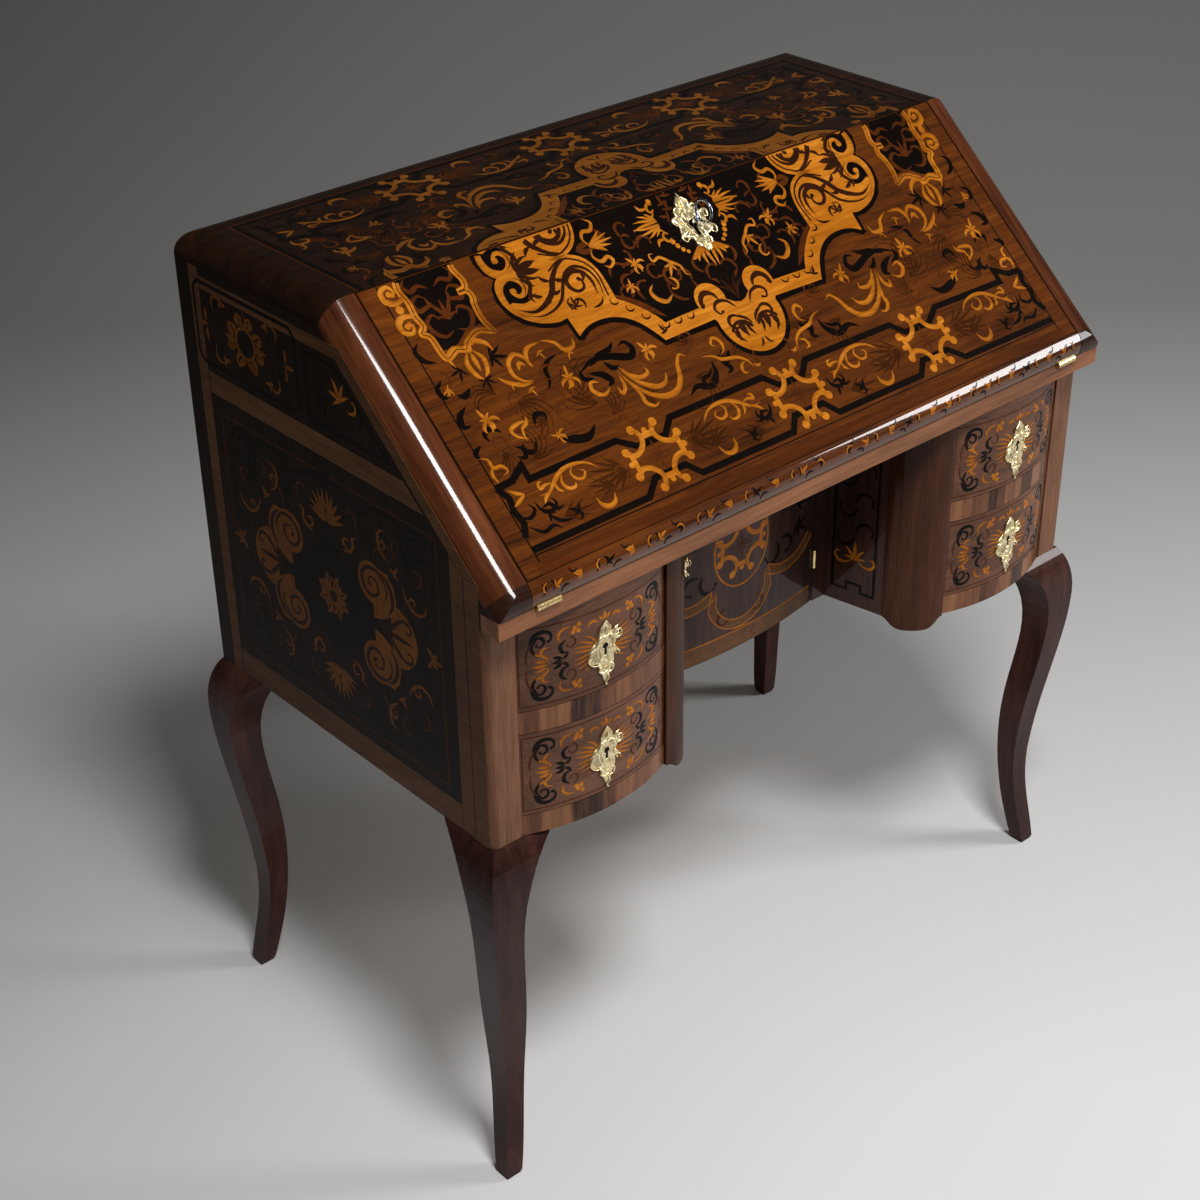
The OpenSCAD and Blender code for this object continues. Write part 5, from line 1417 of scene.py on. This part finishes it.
def relief_plate(b, rim, hole, slot_half, slot_reach, flute_from, flute_to, scale=1.0):
    """A closed cast plate: top rows from the keyhole to the rim, then the underside.

    Height = base + collar at the hole + ribs in the middle + a rolled edge; between two
    angles the ribs become radial flutes, like a shell."""
    angle = np.arange(PLATE_COLS) * 360 / PLATE_COLS
    a = np.radians(angle)
    inner = np.where(np.sin(a) < 0, slot_half / np.maximum(abs(np.cos(a)), 1e-6), hole)
    inner = np.clip(inner, hole, slot_reach)
    outer = rim_radius(rim, angle) * scale
    t = np.concatenate([[0, 0.0], np.linspace(0.06, 0.95, PLATE_ROWS), [1.0, 1.0]])[:, None]
    r = inner + (outer - inner) * t
    fluted = np.clip(np.minimum(angle - flute_from, flute_to - angle) / 12, 0, 1)
    leaf = 0.5 + 0.5 * np.cos(a * 11 + 6 * t)
    shell = 0.5 + 0.5 * np.cos(a * 30)
    ribs = leaf * (1 - fluted) + shell * fluted
    body = np.clip((t - 0.22) / 0.15, 0, 1) * np.clip((1 - t) / 0.2, 0, 1)
    collar = np.exp(-((t - 0.2) / 0.09) ** 2)
    rolled = np.exp(-((t - 0.86) / 0.08) ** 2)
    high = 0.9 + 0.8 * collar + (0.35 + 0.95 * ribs) * body + 0.45 * rolled
    high[[0, -1]] = -0.3
    high[-2] = 0.45
    points = np.stack([r * np.cos(a), r * np.sin(a), high, high * 0], 2).reshape(-1, 4)
    last = (len(t) - 1) * PLATE_COLS
    c = np.arange(PLATE_COLS)
    n = (c + 1) % PLATE_COLS
    under = np.stack([last + c, last + n, n, c], 1)
    b.add("brass", points, np.vstack([grid_faces(len(t), PLATE_COLS, wrap=True), under]))


def rib(b, points, w, kind):
    """A round rib on the plate: seven points over its back, two below."""
    n = int(np.clip(np.linalg.norm(np.diff(points, axis=0), axis=1).sum() / 0.8, 10, 60))
    centre = spline(points, n)
    out = beside(centre)
    turn = np.radians([20, 45, 70, 90, 110, 135, 160])
    across = np.concatenate([np.cos(turn), [-0.9, 0.9]]) / 2
    width = widths(kind, n, w)[:, None]
    height = RIB_LIFT + np.concatenate([np.sin(turn), [-0.5, -0.5]]) * width * 0.62
    flat = centre[:, None] + out[:, None] * (across * width)[..., None]
    rows = np.concatenate([flat, height[..., None], height[..., None] * 0], 2)
    start = np.array([[8, 7, 6, 0], [6, 5, 1, 0], [5, 4, 2, 1], [4, 3, 2, 2]])
    end = np.array([[0, 6, 7, 8], [0, 1, 5, 6], [1, 2, 4, 5], [2, 3, 4, 4]]) + 9 * (n - 1)
    b.add("brass", rows.reshape(-1, 4), np.vstack([grid_faces(n, 9, wrap=True), start, end]))


def ribs(b, scale, *rows):
    """Ribs from rows of (points, width): a leaf has three points, a horn has more."""
    for points, w in rows:
        rib(b, b.put(points) * scale, w * scale, "leaf" if len(points) < 4 else "horn")


def drawer_plate(b, scale):
    """The asymmetrical rocaille of the drawers and the door."""
    # Painted shadow: the ebony dot and slot under the keyhole stand for the dark inside the hole.
    b.bead("ebony", 0, 0, 4.4 * scale)
    b.trace("ebony", [(0, 0), (0, -6 * scale), (0, -12 * scale)], 4.4 * scale, "strap")
    relief_plate(b, RIM, 3.5, 1.7, 11.0, 176, 246, scale)
    ribs(b, scale,
         ([(-3, 9), (5, 12), (10, 7), (9, -2), (11, -10), (14, -15)], 3.2),
         ([(3, 11), (-6, 12), (-11, 5), (-11, -4), (-8, -13), (0, -18)], 3.4),
         ([(10, 5), (17, 4), (21, 8), (19, 13), (15, 11)], 3.0),
         ([(8, 12), (13, 17), (17, 19)], 3.4),
         ([(-7, 13), (-7, 20), (-2, 26), (1, 29)], 3.0),
         ([(4, 14), (6, 20), (2, 27)], 2.6),
         ([(-3, 15), (0, 19), (1, 24)], 3.0),
         ([(-12, 2), (-19, -3), (-21, -12), (-15, -19), (-7, -20)], 3.0),
         ([(-5, -22), (-9, -27), (-4, -31), (2, -29), (1, -24), (-3, -25)], 2.8),
         ([(4, -21), (9, -25), (8, -31), (3, -33)], 2.8),
         ([(0, -32), (2, -37), (-1, -42), (0, -46)], 4.2),
         ([(12, -9), (17, -12), (18, -16)], 2.8))


def fall_plate(b):
    """The larger plate of the fall, with a leaf crest and wings on both sides."""
    relief_plate(b, FALL_RIM, 5.0, 2.6, 15.0, 200, 236)
    for _ in b.left_right(0):
        ribs(b, 1,
             ([(2, 15), (9, 14), (13, 8), (11, -1), (8, -9), (5, -17)], 3.8),
             ([(12, 9), (20, 12), (25, 9), (23, 3), (18, 4)], 3.6),
             ([(11, -4), (18, -6), (25, -12), (22, -18), (16, -15)], 3.6),
             ([(5, 18), (11, 22), (16, 20)], 3.8),
             ([(4, 18), (8, 26), (3, 34)], 3.4),
             ([(4, -18), (10, -22), (9, -27), (4, -28)], 3.4),
             ([(2, -26), (4, -31), (1, -36)], 3.4))
    rib(b, [(0, 17), (0, 26), (1, 33), (0, 40)], 4.4, "leaf")
    rib(b, [(0, -20), (0, -26), (0, -33)], 4.0, "leaf")


# %% [markdown]
# ## Placing the plates
# Each plate stands at its keyhole, rides on the body that has the lock, and takes the
# place of the frame's plain plate, which has the same outline and hole. The plate of
# the door is a smaller cast of the drawers' one.

# %% Escutcheons
FALL_KEY_S = RIDGE_S - 48.0
DOOR_KEY_X, DOOR_KEY_Z = -94.0, 600.5
plates = {"fall_escutcheon": ("fall", lambda u, v, h: on_fall(u, v + FALL_KEY_S, h))}
for name, (sign, key_z) in DRAWER_KEYS.items():
    plates[f"{name}_escutcheon"] = (name, on_bow(sign, key_z))
plates["door_escutcheon"] = (
    "door", lambda u, v, h: on_door(u + DOOR_KEY_X, v + DOOR_KEY_Z - DOOR_MID, h))
for node_name, (body, place) in plates.items():
    cast = Board(node_name, body, place, (1,))
    if body == "fall":
        fall_plate(cast)
    else:
        drawer_plate(cast, 0.72 if body == "door" else 1.0)
    cast.lay()
    plate = bpy.data.objects[f"{node_name}_brass"]
    plate.data.polygons.foreach_set("use_smooth", np.full(len(plate.data.polygons), True))
    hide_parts(node_name)
print("cast", len(plates), "escutcheons")
